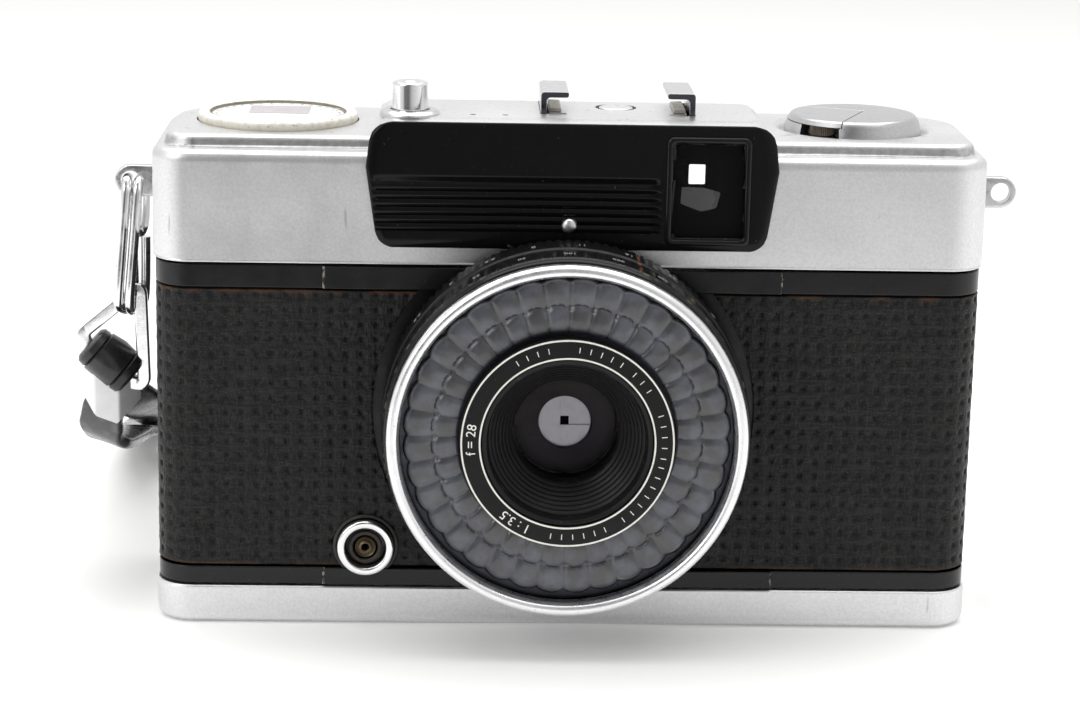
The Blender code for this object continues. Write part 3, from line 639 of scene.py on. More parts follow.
def rounding_nodes():
    """Geometry nodes that weld a CAD mesh and smooth it, keeping its sharp edges."""
    group = bpy.data.node_groups.new("cad_smoothing", 'GeometryNodeTree')
    group.interface.new_socket("Geometry", in_out='INPUT', socket_type='NodeSocketGeometry')
    group.interface.new_socket("Geometry", in_out='OUTPUT', socket_type='NodeSocketGeometry')
    start = group.nodes.new("NodeGroupInput")
    end = group.nodes.new("NodeGroupOutput")
    weld = group.nodes.new("GeometryNodeMergeByDistance")
    weld.inputs["Distance"].default_value = 1e-6
    shade = group.nodes.new("GeometryNodeSetShadeSmooth")
    sharpen = group.nodes.new("GeometryNodeSetShadeSmooth")
    sharpen.domain = 'EDGE'
    sharpen.inputs["Shade Smooth"].default_value = False
    angle = group.nodes.new("GeometryNodeInputMeshEdgeAngle")
    steep = group.nodes.new("FunctionNodeCompare")
    steep.operation = 'GREATER_THAN'
    steep.inputs[1].default_value = math.radians(35)
    group.links.new(angle.outputs["Unsigned Angle"], steep.inputs[0])
    group.links.new(start.outputs[0], weld.inputs["Geometry"])
    group.links.new(weld.outputs["Geometry"], shade.inputs["Geometry"])
    group.links.new(shade.outputs["Geometry"], sharpen.inputs["Geometry"])
    group.links.new(steep.outputs["Result"], sharpen.inputs["Selection"])
    group.links.new(sharpen.outputs["Geometry"], end.inputs[0])
    return group


def dress_frame():
    """Every CAD node gets the procedural look of its slot, smooth faces and soft edges."""
    group = rounding_nodes()
    for node, shown in frame["nodes"].items():
        shown.data.materials.clear()
        shown.data.materials.append(SLOT_LOOKS[SLOTS[node]])
        shown.modifiers.new("smoothing", 'NODES').node_group = group
        soft_edges(shown, CAD_EDGE, SHARP)


# ================================================================ finishes for single pieces

def enamel_plate():
    """The front plate's enamel: glossy, with brassy wear on its outer edges."""
    it = black_enamel("plate_enamel", 0.15, 0.004, 0.16)
    edge = it.maths('MULTIPLY', it.ridges(0.56, 0.66), it.specks(1.1, 4.0, 0.56, 0.64))
    it.wear(edge, (0.20, 0.16, 0.09), 0.7)
    return it.made


def chipped_enamel():
    """Black enamel with bright chips at the lens panel's ends."""
    it = black_enamel("chipped_enamel", 0.20, 0.008)
    ends = it.along("X", (-31.95, 1.0), (-31.72, 1.0), (-31.55, 0.0), (27.2, 0.0), (27.4, 1.0))
    chips = it.maths('MULTIPLY', ends, it.specks(0.55, 3.0, 0.50, 0.58))
    it.wear(chips, (0.30, 0.27, 0.23), 0.8)
    return it.made


def worn_knurl():
    """Black grip flutes whose crests are rubbed through to brass and tin."""
    it = Finish("worn_knurl", (0.006, 0.006, 0.007), 0.30, Specular_IOR_Level=0.22)
    crest = it.maths('MULTIPLY', it.ridges(0.53, 0.60), it.specks(2.4, 4.0, 0.55, 0.64))
    it.wear(crest, (0.42, 0.34, 0.20), 0.9)
    it.sheen(1.2, 3.0, (0.3, 0.24), (0.7, 0.42))
    rust = it.maths('MULTIPLY', it.along("X", (8.1, 0.0), (8.25, 1.0), (8.55, 1.0), (8.7, 0.0)),
                    it.specks(0.7, 3.0, 0.50, 0.58))
    it.wear(rust, (0.26, 0.075, 0.015), 0.8)
    it.grain(0.4, 3.0, 0.01)
    return it.made


def rim_chrome():
    """The lens rim's brushed chrome, with a fine grain and small worn spots."""
    it = Finish("rim_chrome", (0.82, 0.82, 0.83), 0.28, 1.0)
    it.sheen(1.2, 4.0, (0.3, 0.24), (0.75, 0.38))
    it.wear(it.specks(0.5, 4.0, 0.64, 0.72), (0.45, 0.43, 0.40), 0.6)
    it.grain(0.25, 3.0, 0.006)
    return it.made


def mouth_black():
    it = Finish("mouth_black", (0.007, 0.007, 0.0075), 0.38, Specular_IOR_Level=0.22)
    it.sheen(1.0, 4.0, (0.3, 0.30), (0.7, 0.45))
    it.wear(it.specks(0.3, 2.0, 0.70, 0.75), (0.12, 0.12, 0.12), 0.6)
    it.grain(0.5, 2.0, 0.004)
    return it.made


def brown_coating():
    """The very dark brown lacquer of the seat behind the first lens."""
    it = Finish("brown_coating", (0.012, 0.007, 0.005), 0.34, Specular_IOR_Level=0.15)
    it.wear(it.noise(1.5, 3.0), (0.006, 0.005, 0.005), 0.8)
    it.sheen(1.0, 3.0, (0.3, 0.25), (0.7, 0.4))
    return it.made


def coated_glass():
    it = Finish("coated_glass", (0.98, 0.975, 0.985), 0.01, IOR=1.11)
    it.fix(it.shader, "Transmission Weight", 1.0)
    it.fix(it.shader, "Specular Tint", (0.6, 0.65, 1.0, 1.0))
    it.sheen(0.8, 4.0, (0.5, 0.0), (0.85, 0.10))
    return it.made


def thin_glass():
    """A thin clear cover that lets the light straight through."""
    it = Finish("thin_glass", (0.98, 0.985, 0.98), 0.02, IOR=1.25, Alpha=0.10)
    it.fix(it.shader, "Transmission Weight", 1.0)
    it.sheen(1.0, 4.0, (0.5, 0.0), (0.85, 0.08))
    return it.made


def blade_grey():
    """Grey stamped blades of the diaphragm."""
    it = Finish("blade_grey", (0.66, 0.64, 0.68), 0.45)
    it.wear(it.specks(0.9, 4.0, 0.45, 0.7), (0.54, 0.52, 0.55), 0.6)
    it.sheen(0.8, 3.0, (0.3, 0.35), (0.7, 0.5))
    it.grain(0.3, 3.0, 0.004)
    return it.made


def old_ivory():
    """The counter's rim: ivory with yellowed patches, small dark nicks and a darker, yellower foot."""
    it = Finish("old_ivory", (0.86, 0.85, 0.81), 0.34)
    it.wear(it.specks(0.8, 4.0, 0.48, 0.66), (0.56, 0.50, 0.34), 0.55)
    it.wear(it.specks(0.45, 3.0, 0.665, 0.70), (0.12, 0.09, 0.05), 0.8)
    # Darker and yellower towards the rim's foot.
    it.wear(it.along("Z", (64.8, 1.0), (65.5, 0.6), (65.85, 0.0)), (0.50, 0.46, 0.33), 0.75)
    it.grain(0.4, 3.0, 0.012)
    it.sheen(1.4, 3.0, (0.3, 0.28), (0.7, 0.44))
    return it.made


def plain_tone(name, tone, roughness, metallic=0.0, grain=0.6, stain=None, share=0.5):
    """A surface with one tone, a stain and a fine grain."""
    it = Finish(name, tone, roughness, metallic)
    stain = stain or tuple(c * 0.7 for c in tone)
    it.wear(it.specks(grain * 2.5, 4.0, 0.42, 0.7), stain, share)
    it.sheen(grain * 3, 3.0, (0.3, roughness * 0.8), (0.7, roughness * 1.25))
    it.grain(grain, 3.0, 0.008)
    return it.made


def folded_chrome():
    """The shoe rails' plating, with painted shade that turns their front ends dark blue-grey."""
    it = Finish("shoe_chrome", (0.62, 0.62, 0.63), 0.18, 1.0)
    it.wear(it.specks(0.6, 4.0, 0.66, 0.74), (0.30, 0.28, 0.25), 0.6)
    # Painted shade: the rails' front faces are darkened to blue-grey.
    it.wear(it.along("Y", (-1.07, 1.0), (-1.0, 0.0)), (0.055, 0.06, 0.075), 0.9)
    it.sheen(1.6, 3.0, (0.35, 0.14), (0.75, 0.36))
    it.bump(it.noise(0.5, 2.0, it.stretched(1.0, 9.0, 1.0)), 0.003)
    return it.made


def skylight():
    """A painted glow that stands for the light coming through the finder from its eyepiece."""
    it = Finish("finder_light", (0.9, 0.89, 0.86), 0.5)
    glow = it.ramp(it.noise(1.4, 3.0), (0.3, (0.84, 0.82, 0.78)), (0.7, (1.0, 0.99, 0.96)))
    # Painted light: this surface glows in place of the light from the eyepiece.
    it.paint("Emission Color", glow)
    it.fix(it.shader, "Emission Strength", 0.95)
    return it.made


RIM_FRONT = reach("front_trim_ring", "y", 0) * -1
ENAMEL_PLATE = enamel_plate()
ENAMEL_GLOSS = black_enamel("gloss_enamel", 0.12, 0.005, 0.25).made
ENAMEL_BAND = black_enamel("band_enamel", 0.34, 0.006, 0.2).made
CHIPPED = chipped_enamel()
WORN_KNURL = worn_knurl()
RIM_CHROME = rim_chrome()
MOUTH_BLACK = mouth_black()
BROWN_COATING = brown_coating()
COATED_GLASS = coated_glass()
THIN_GLASS = thin_glass()
BLADE_GREY = blade_grey()
OLD_IVORY = old_ivory()
SKYLIGHT = skylight()
SATIN_LOW = satin_silver("satin_base", 0.72, 0.34)
KNOB_SILVER = satin_silver("knob_silver", 0.52, 0.30)
DULL_SPRING = plain_tone("dull_spring", (0.48, 0.45, 0.40), 0.4, 0.6, grain=0.4, stain=(0.24, 0.20, 0.16))
DULL_BRASS = plain_tone("dull_brass", (0.15, 0.12, 0.07), 0.42, 0.8, grain=0.4, stain=(0.05, 0.04, 0.03))
MARK_PAINT = plain_tone("mark_paint", (0.34, 0.33, 0.30), 0.5, grain=0.5)
DULL_CHROME = chrome("dull_chrome", 0.62, 0.22)
SHOE_CHROME = folded_chrome()
MATT_DEEP = matt_black("matt_deep", 0.003, 0.6, 0.06)
BACK_LEATHER = leatherette("back_leatherette", 0.0)
CLAMP_METAL = plain_tone("clamp_metal", (0.80, 0.80, 0.81), 0.36, 0.25, grain=0.8, share=0.25)
STRAP_LOOP = plain_tone("loop_leather", (0.012, 0.012, 0.013), 0.30, grain=0.5, stain=(0.03, 0.03, 0.03))
RUSTY_BLACK = plain_tone("rusty_black", (0.012, 0.011, 0.010), 0.5, grain=0.4, stain=(0.05, 0.03, 0.018))
GREY_PRISM = plain_tone("grey_prism", (0.060, 0.060, 0.064), 0.3, grain=0.8)
GROOVE = plain_tone("dark_groove", (0.16, 0.14, 0.09), 0.5, grain=0.4)
WHITE_DIAL = plain_tone("white_dial", (0.90, 0.89, 0.87), 0.4, grain=0.8, stain=(0.78, 0.76, 0.70))
PATCH_GREY = plain_tone("patch_grey", (0.44, 0.40, 0.415), 0.4, grain=0.8, stain=(0.40, 0.36, 0.37))
BROWN_GRIP = plain_tone("brown_grip", (0.16, 0.13, 0.095), 0.42, 0.6, grain=0.4, stain=(0.07, 0.055, 0.04))


# ================================================================ wrist strap

STRAP_WIDE = 7.0
STRAP_THICK = 1.7
TWIST_STEPS = 26    # route points over which the strap turns from the clamp's slant to flat
STRAP_ROUTE = (
    (-62.0, 8.0, 25.6), (-62.6, 8.3, 23.2), (-62.7, 9.8, 20.9), (-61.9, 14.0, 19.0), (-61.2, 26.0, 16.6),
    (-61.5, 36.0, 13.8), (-62.4, 48.0, 10.5), (-63.6, 60.0, 7.1), (-64.4, 72.0, 4.1),
    (-63.6, 84.0, 2.3), (-59.0, 94.0, 1.9), (-49.0, 100.5, 1.9), (-34.0, 103.0, 1.9),
    (-14.0, 104.0, 1.9), (6.0, 103.5, 1.9), (21.0, 100.0, 1.9), (28.0, 91.5, 1.9),
    (21.0, 83.0, 1.9), (6.0, 80.5, 1.9), (-12.0, 81.0, 1.9), (-30.0, 82.0, 1.9),
    (-44.0, 81.0, 1.9), (-52.5, 77.5, 1.9), (-57.8, 70.5, 3.9), (-59.6, 60.0, 8.8),
    (-59.4, 48.0, 13.0), (-58.9, 36.0, 16.7), (-57.6, 26.0, 19.8), (-56.9, 18.0, 22.4),
    (-57.9, 12.0, 24.6), (-59.2, 8.4, 26.6),
)
LEG_OUT = Vector((0.74, -0.3, -0.6))        # how the clamp holds the strap's two ends across
LEG_BACK = Vector((-0.72, 0.1, -0.69))


def curved(points, fine=6):
    """A Catmull-Rom curve through points."""
    route = [Vector(p) for p in points]
    route = [route[0] * 2 - route[1]] + route + [route[-1] * 2 - route[-2]]
    made = []
    for a, b, c, d in zip(route, route[1:], route[2:], route[3:]):
        for i in range(fine):
            t = i / fine
            made.append(0.5 * ((2 * b) + (c - a) * t + (2 * a - 5 * b + 4 * c - d) * t * t
                               + (3 * b - a - 3 * c + d) * t * t * t))
    made.append(route[-2])
    return made


def make_wrist_strap():
    """A flat stitched strap: it leaves the clamp, lies in a loop behind and comes back."""
    route = curved(STRAP_ROUTE)
    half, thin = STRAP_WIDE / 2, STRAP_THICK / 2
    section = softened(corners(-half, half, -thin, thin), 0.6)
    loops = []
    last = len(route) - 1
    for i, here in enumerate(route):
        ahead = (route[min(i + 1, last)] - route[max(i - 1, 0)]).normalized()
        level = ahead.cross(Vector((0.0, 0.0, 1.0))).normalized()
        held = LEG_OUT if i < last / 2 else LEG_BACK
        share = min(1.0, min(i, last - i) / TWIST_STEPS)
        across = level * share + held * (1 - share)
        across = (across - ahead * across.dot(ahead)).normalized()
        up = across.cross(ahead)
        size = (1.0 + 0.02 * math.sin(i * 0.9)) * (0.8 + 0.2 * share)
        loops.append([tuple(here + across * a * size + up * b) for a, b in section])
    strap = joined("strap_legs", loops, STRAP, stands_for=("wrist_strap",))
    steps = zip(route, route[1:])
    length = sum((b - a).length for a, b in steps) * MM


LINK_ROUTE = (
    (-57.4, 1.0, 49.7), (-57.0, 1.6, 49.0), (-56.5, 1.8, 50.6), (-56.35, 1.8, 53.4), (-56.4, 1.4, 55.7),
    (-56.7, 0.2, 56.6), (-56.9, -1.1, 56.1), (-57.05, -1.75, 54.2), (-57.65, -1.75, 47.5),
    (-58.25, -1.75, 40.9), (-58.3, -1.1, 39.3), (-58.2, 0.2, 38.6),
    (-58.0, 1.4, 39.5), (-58.0, 1.75, 42.0), (-58.1, 1.75, 48.0),
    (-58.2, 1.75, 54.0), (-58.3, 1.2, 56.1), (-58.4, 0.0, 56.7), (-58.45, -1.2, 56.1), (-58.55, -1.75, 54.2),
    (-59.15, -1.75, 47.5), (-59.7, -1.75, 41.1), (-59.7, -1.1, 39.5), (-59.2, 0.3, 38.7), (-58.0, 1.7, 38.6),
    (-56.9, 2.3, 39.4), (-56.6, 2.4, 41.5), (-56.5, 2.4, 45.0), (-56.45, 2.3, 48.3),
)


def make_strap_link():
    """A split link: wire coiled twice through the lug, with its two ends at the back."""
    route = [(x, LUG_Y + y, z) for x, y, z in curved(LINK_ROUTE, fine=8)]
    tube("link_wire", route, 0.68, CHROME, body="strap_link", stands_for=("strap_link",), sides=16)


def make_strap_ring():
    """The three-sided ring of flat wire between link and strap."""
    corners = [(-57.0, 42.0), (-64.9, 35.4), (-64.0, 33.2), (-59.5, 28.9), (-56.6, 28.3)]
    outline = softened(corners, 1.3, steps=6)
    outer = inset(outline, -0.9)
    inner = inset(outline, 0.9)
    loops = []
    for (ox, oz), (ix, iz) in zip(outer, inner):
        flat = softened([(ox, oz, LUG_Y - 0.55), (ix, iz, LUG_Y - 0.55), (ix, iz, LUG_Y + 0.55),
                         (ox, oz, LUG_Y + 0.55)], 0.3)
        loops.append([(x, y, z) for x, z, y in flat])
    loops.append(loops[0])
    joined("flat_wire_ring", loops, CHROME, False, stands_for=("strap_ring",))


def make_strap_loop():
    """The strap's end, wrapped round the ring's lower left side in three turns of leather."""
    centre = Vector((-61.1, LUG_Y, 31.7))
    axis = Vector((0.75, 0.0, -0.66))
    side = Vector((0.66, 0.0, 0.75))
    loops = []
    turns = ((-3.5, 1.3), (-3.45, 2.0), (-3.1, 2.4), (-2.3, 2.5), (-2.1, 2.35), (-1.9, 2.6), (0.0, 2.75),
             (1.7, 2.65), (1.9, 2.45), (2.1, 2.6), (3.0, 2.5), (3.4, 2.1), (3.5, 1.3))
    for along, radius in turns:
        loop = []
        for i in range(40):
            turn = 2 * math.pi * i / 40
            reach_out = 1.14 * radius * (1 + 0.03 * math.sin(3 * turn + along))
            loop.append(tuple(centre + axis * 1.05 * along + side * (reach_out * math.cos(turn))
                              + Vector((0, 1.25, 0)) * (reach_out * math.sin(turn))))
        loops.append(loop)
    joined("leather_loop", loops, STRAP_LOOP, slot="strap_leather")


def make_strap_clamp():
    """The folded metal clamp: a creased sleeve with a pointed lower edge."""
    section = softened([(-65.0, 8.6), (-63.2, 5.2), (-59.8, 5.1), (-57.1, 8.2), (-57.6, 9.8), (-64.5, 9.9)],
                       0.35)
    loops = []
    for (x, y), (u, v) in zip(section, inset(section, 0.4)):
        high = blended(x, ((-65.0, 31.0), (-61.0, 29.6), (-57.1, 28.9)))
        low = blended(x, ((-65.0, 26.4), (-61.0, 22.6), (-57.1, 26.2)))
        loops.append([(u, v, high), (x, y, high), (x, y, low + 0.15), (x, y, low), (u, v, low)])
    loops.append(loops[0])
    joined("folded_clamp", loops, CLAMP_METAL, False, stands_for=("strap_clamp",), sharp=30)


# ================================================================ covers and coverings

def cover_loop(size, z):
    """The body's outline drawn in by size, at a height."""
    radius = max(CORNER - size, 1.2)
    return [(x, y, z) for x, y in rounded(-HALF_W + size, HALF_W - size, FRONT + size, BACK - size, radius)]


def plateau_loop(size, z):
    half = 52.5 - size
    outline = rounded(-half, half, FRONT + 2.0 + size, BACK - 4.0 - size, 3.9 - size, 9.0 - size)
    return [(x, y, z) for x, y in outline]


def finder_opening():
    return plug(rounded(11.9, 22.6, 51.9, 66.0, 0.6, count=3), 6.0, 10.0, 'Y')


def make_cover():
    """The pressed top cover: side walls, rounded ledge, raised plateau and its openings."""
    walls = ((1.3, COVER_LOW + 0.02), (0.2, COVER_LOW), (0.0, COVER_LOW + 0.2), (0.0, COVER_LOW + 0.4),
             (0.0, 56.0), (0.0, 61.6), (0.0, 61.9), (0.06, 62.3), (0.22, 62.65),
             (0.5, 62.95), (0.9, 63.15), (1.35, 63.22),
             (1.7, 63.25))
    plateau = ((0.0, 63.4), (0.12, 63.7), (0.2, 64.2), (0.35, 64.55), (0.65, 64.8), (1.1, 64.9), (2.2, 64.92))
    loops = [cover_loop(*place) for place in walls] + [plateau_loop(*place) for place in plateau]
    cover = joined("cover_shell", loops, SATIN)
    hump_loops = []
    for side, front, radius, z in ((0.0, 0.0, 1.6, 62.0), (0.0, 0.0, 1.6, HUMP_TOP - 1.2),
                                   (0.0, 0.0, 1.6, HUMP_TOP - 0.9), (0.2, 0.15, 1.7, HUMP_TOP - 0.62),
                                   (0.5, 0.5, 1.8, HUMP_TOP - 0.5), (0.9, 3.0, 1.8, HUMP_TOP - 0.16),
                                   (1.0, 3.3, 1.8, HUMP_TOP - 0.03), (1.7, 4.2, 1.8, HUMP_TOP)):
        outline = rounded(-24.9 + side, 24.9 - side, FRONT + 0.05 + front, 11.0 - side, radius, count=6)
        hump_loops.append([(x, y, z) for x, y in outline])
    hump = joined("cover_hump", hump_loops, SATIN)
    room = [plug(rounded(-HALF_W + 1.0, HALF_W - 1.0, FRONT + 1.0, BACK - 1.0, 4.0), 47.0, 62.0),
            plug(rounded(-51.5, 51.5, FRONT + 3.0, BACK - 5.2, 3.0, 8.0), 61.0, 64.0),
            plug(rounded(-24.0, 24.0, FRONT + 0.9, 10.2, 1.0), 60.0, 65.5),
            finder_opening()]
    openings = [plug(circle(COUNTER, 10.7), 60.0, 67.0),
                cutter([[(x, y, 67.0) for x, y in circle(REWIND, 10.9)],
                        [(x, y, 64.95) for x, y in circle(REWIND, 10.6)],
                        [(x, y, 64.1) for x, y in circle(REWIND, 9.7)]]),
                plug(circle(REWIND, 4.2), 60.0, 67.0),
                plug(circle(EYEPIECE, 4.3), -26.0, -20.5, 'Y'),
                block(WHEEL[0] - 6.8, WHEEL[0] + 6.8, 20.0, 25.0, 47.0, 53.6)]
    for side in (-1, 1):
        ends = sorted((side * 51.0, side * 55.0))
        openings.append(block(*ends, LUG_Y - 1.0, LUG_Y + 1.0, 54.0, 58.8))
    carve(cover, *room, *openings)
    dressed(cover, SATIN, stands_for=("top_cover",), soft=0.06)
    holes = [plug(circle(BUTTON, 2.75), 64.0, 69.0), plug(circle((SHOE_X, 5.0), 2.7), 64.0, 69.0),
             finder_opening(),
             plug(rounded(-24.0, 24.0, FRONT + 0.9, 10.2, 1.0), 60.0, 66.5)]
    for side in (-1, 1):
        rail = SHOE_X + side * 9.7
        ends = sorted((rail - side * 0.75, rail + side * 0.42))
        holes.append(block(*ends, -1.35, 9.7, 65.0, 69.0))
        notch = SHOE_X + side * 7.9
        holes.append(block(notch - 1.2, notch + 1.2, -1.6, -0.4, 66.6, 69.0))
    for x in (-12.8, -8.6):
        holes.append(plug(circle((x, -2.6), 0.42, 20), 66.4, 69.0))
    carve(hump, *holes)
    dressed(hump, SATIN, stands_for=("top_cover",), soft=0.06)


def make_base_shell():
    walls = ((2.0, 0.0), (1.2, 0.0), (0.7, 0.08), (0.35, 0.3), (0.1, 0.75), (0.0, 1.3), (0.0, 1.7),
             (0.0, BASE_TOP - 0.5), (0.0, BASE_TOP - 0.2), (0.2, BASE_TOP), (1.3, BASE_TOP))
    base = joined("base_shell", [cover_loop(*place) for place in walls], SATIN)
    carve(base, plug(rounded(-HALF_W + 1.3, HALF_W - 1.3, FRONT + 1.3, BACK - 1.3, 3.7), 1.4, 7.0),
          plug(circle(TRIPOD, 6.6), -1.0, 3.0), plug(circle((-20.0, 10.8), 2.4), -1.0, 3.0))
    dressed(base, SATIN_LOW, stands_for=("base_plate",), soft=0.05)


PIT_PITCH = 1.95    # one embossed square of the cloth, with grid lines at shares of it
PIT_STOPS = (0.0, 0.12, 0.3, 0.38, 0.62, 0.7, 0.88)
PIT_DEEP = (0.0, 0.02, 0.04, 0.28, 0.28, 0.04, 0.02)
CLOTH_LOW = reach("leatherette_left", "z", 0)
CLOTH_HIGH = reach("leatherette_left", "z", 1)


def pit_lines(length, start):
    """Where the cloth's grid lines fall along a length, and how deep each is."""
    lines = []
    cell = start
    while cell < length:
        for share, deep in zip(PIT_STOPS, PIT_DEEP):
            where = cell + share * PIT_PITCH
            if 0.0 < where < length:
                lines.append((where, deep))
        cell += PIT_PITCH
    return [(0.0, -0.12), (0.12, 0.0)] + lines + [(length - 0.12, 0.0), (length, -0.12)]


def make_cloth(name, side):
    """Embossed covering from the lens round the front corner and back to the door."""
    half_wide, face, corner, door_y = 53.8, 8.2, 5.2, 19.4
    run_front = half_wide - corner
    run_corner = corner * math.pi / 2
    run_side = door_y + face - corner
    length = run_front + run_corner + run_side

    def place(along, lift):
        """A point of the cloth, measured along it from the middle of the front."""
        if along <= run_front:
            return (side * along, -face - lift)
        if along <= run_front + run_corner:
            turn = (along - run_front) / corner
            radius = corner + lift
            return (side * (run_front + radius * math.sin(turn)), corner - face - radius * math.cos(turn))
        return (side * (half_wide + lift), corner - face + along - run_front - run_corner)

    def cloth_point(row, column, lift):
        (z, deep_z), (along, deep_x) = row, column
        edge = min(deep_x, 0.0) + min(deep_z, 0.0)
        pit = min(max(deep_x, 0.0), max(deep_z, 0.0))
        ripple = 0.012 * math.sin(along * 1.3 + z * 0.7) + 0.012 * math.sin(z * 2.1 - along * 0.4)
        x, y = place(along, lift or max(edge, -0.2) - pit * 0.95 + ripple)
        return (x, y, CLOTH_LOW + z)

    rows = pit_lines(CLOTH_HIGH - CLOTH_LOW, 0.35)
    cloth = sheet(name, rows, pit_lines(length, 0.4), cloth_point, 0.55, LEATHER)
    cuts = [plug(circle(LENS, 24.9, 160), 5.0, 12.0, 'Y')]
    if side < 0:
        cuts.append(plug(circle(SYNC, 4.3, 64), 5.0, 12.0, 'Y'))
    else:
        cuts.append(block(52.0, 56.0, 10.5, 17.5, 15.5, 35.5))
    carve(cloth, *cuts)
    node = "leatherette_left" if side < 0 else "leatherette_right"
    dressed(cloth, LEATHER, stands_for=(node,), sharp=60)


def make_trim_bands():
    """Enamelled bands above and below the covering, and the lens panel between them."""
    for name, low, high in (("band_low", 5.45, 7.75), ("band_high", 45.45, 48.4)):
        outline = rounded(-53.7, 53.7, -8.3, 19.4, 4.9, 0.6)
        slab(name, outline, low, high, ENAMEL, 0.15, slot="black_enamel")
    for name, low, high in (("panel_low", 5.5, 7.75), ("panel_high", 45.45, 48.35)):
        outline = softened(corners(PANEL_LEFT, PANEL_RIGHT, -8.65, -6.9), 0.3)
        slab(name, outline, low, high, CHIPPED, 0.12, slot="black_enamel")
    front = softened(corners(PANEL_LEFT, PANEL_RIGHT, 8.0, 45.2), 0.5)
    panel = slab("panel_core", front, 6.6, 7.3, ENAMEL, 0.1, axis='Y', stands_for=("lens_panel",))
    carve(panel, plug(circle(LENS, 18.3), 6.0, 10.0, 'Y'), plug(circle(SYNC, 3.3), 6.0, 10.0, 'Y'))
    dressed(panel, ENAMEL, stands_for=("lens_panel",))


# ================================================================ front plate and finder

FASCIA_SIDES = ((51.1, 22.9), (51.25, 23.6), (51.55, 24.15), (52.0, 24.7), (53.0, 25.15), (61.5, 26.4),
                (65.2, 25.95), (66.0, 25.6), (66.6, 25.1), (67.0, 24.5), (67.25, 23.8), (67.4, 23.0))
FASCIA_LOW = reach("front_fascia", "z", 0)
FASCIA_HIGH = reach("front_fascia", "z", 1)
PLATE_RISE = 0.46
PLATE_ROUND = 1.25
RIB_PITCH = 1.05
RIBS = (53.35, 59.65)


def fascia_relief(x, z, edge):
    """How far the front plate stands forward of its edge at a place."""
    level = PLATE_RISE * (1 - (1 - min(edge, PLATE_ROUND) / PLATE_ROUND) ** 2) ** 0.5
    if -25.4 < x < 11.0 and z < 60.5:
        fade = min(1.0, (x + 25.4) / 0.5, (11.0 - x) / 0.5)
        if RIBS[0] < z < RIBS[1]:
            share = ((z - RIBS[0]) / RIB_PITCH) % 1.0
            level -= fade * (0.38 - 0.30 * math.sin(math.pi * share) ** 0.7)
        elif z >= RIBS[1]:
            level -= fade * blended(z, ((RIBS[1], 0.40), (59.8, 0.34), (60.5, 0.0)))
    return level


def make_front_plate():
    heights = [FASCIA_LOW + t for t in (0.0, 0.05, 0.12, 0.25, 0.45, 0.7, 1.0, 1.4, 1.8)]
    z = RIBS[0]
    while z < 60.6:
        heights.append(z)
        z += RIB_PITCH / 12
    heights += [60.8, 61.5, 63.0, 65.0, 66.0, 66.5, 66.8, 67.0, 67.15, 67.28, 67.35, 67.4]
    shares = [0.0, 0.001, 0.003, 0.006, 0.010, 0.015, 0.02, 0.03]
    shares += [0.03 + 0.94 * i / 90 for i in range(1, 90)]
    shares += [1 - s for s in reversed(shares[:8])]
    points = []
    for z in heights:
        wide = blended(z, FASCIA_SIDES)
        for share in shares:
            x = -wide + 2 * wide * share
            edge = min(wide - abs(x), z - FASCIA_LOW, FASCIA_HIGH - z)
            points.append((x, FRONT - 0.55 - fascia_relief(x, z, edge), z))
    wide = len(shares)
    faces = []
    for r in range(len(heights) - 1):
        for c in range(wide - 1):
            corner = points[r * wide + c]
            if 12.6 < corner[0] < 21.8 and 52.8 < corner[2] < 65.0:
                continue
            faces.append((r * wide + c, r * wide + c + 1, (r + 1) * wide + c + 1, (r + 1) * wide + c))
    plate = piece("ribbed_plate", points, faces, ENAMEL_PLATE, stands_for=("front_fascia",), sharp=70)
    plate.modifiers.clear()
    thick = plate.modifiers.new("plate", 'SOLIDIFY')
    thick.thickness = 0.9 * MM
    thick.offset = -1.0 if plate.data.polygons[0].normal.y < 0 else 1.0


def framed(name, outer, inner, low, high, look, edge, **more):
    """A frame between two outlines of equal length, rounded on its front."""
    rise = ((0.0, low), (0.0, high - edge), (0.12 * edge, high - 0.6 * edge),
            (0.45 * edge, high - 0.18 * edge), (edge, high))
    loops = [[oriented('Y', x, y, depth) for x, y in inset(outer, size)] for size, depth in rise]
    loops += [[oriented('Y', x, y, depth) for x, y in inset(inner, -size)] for size, depth in reversed(rise)]
    loops.append(loops[0])
    joined(name, loops, look, False, **more)


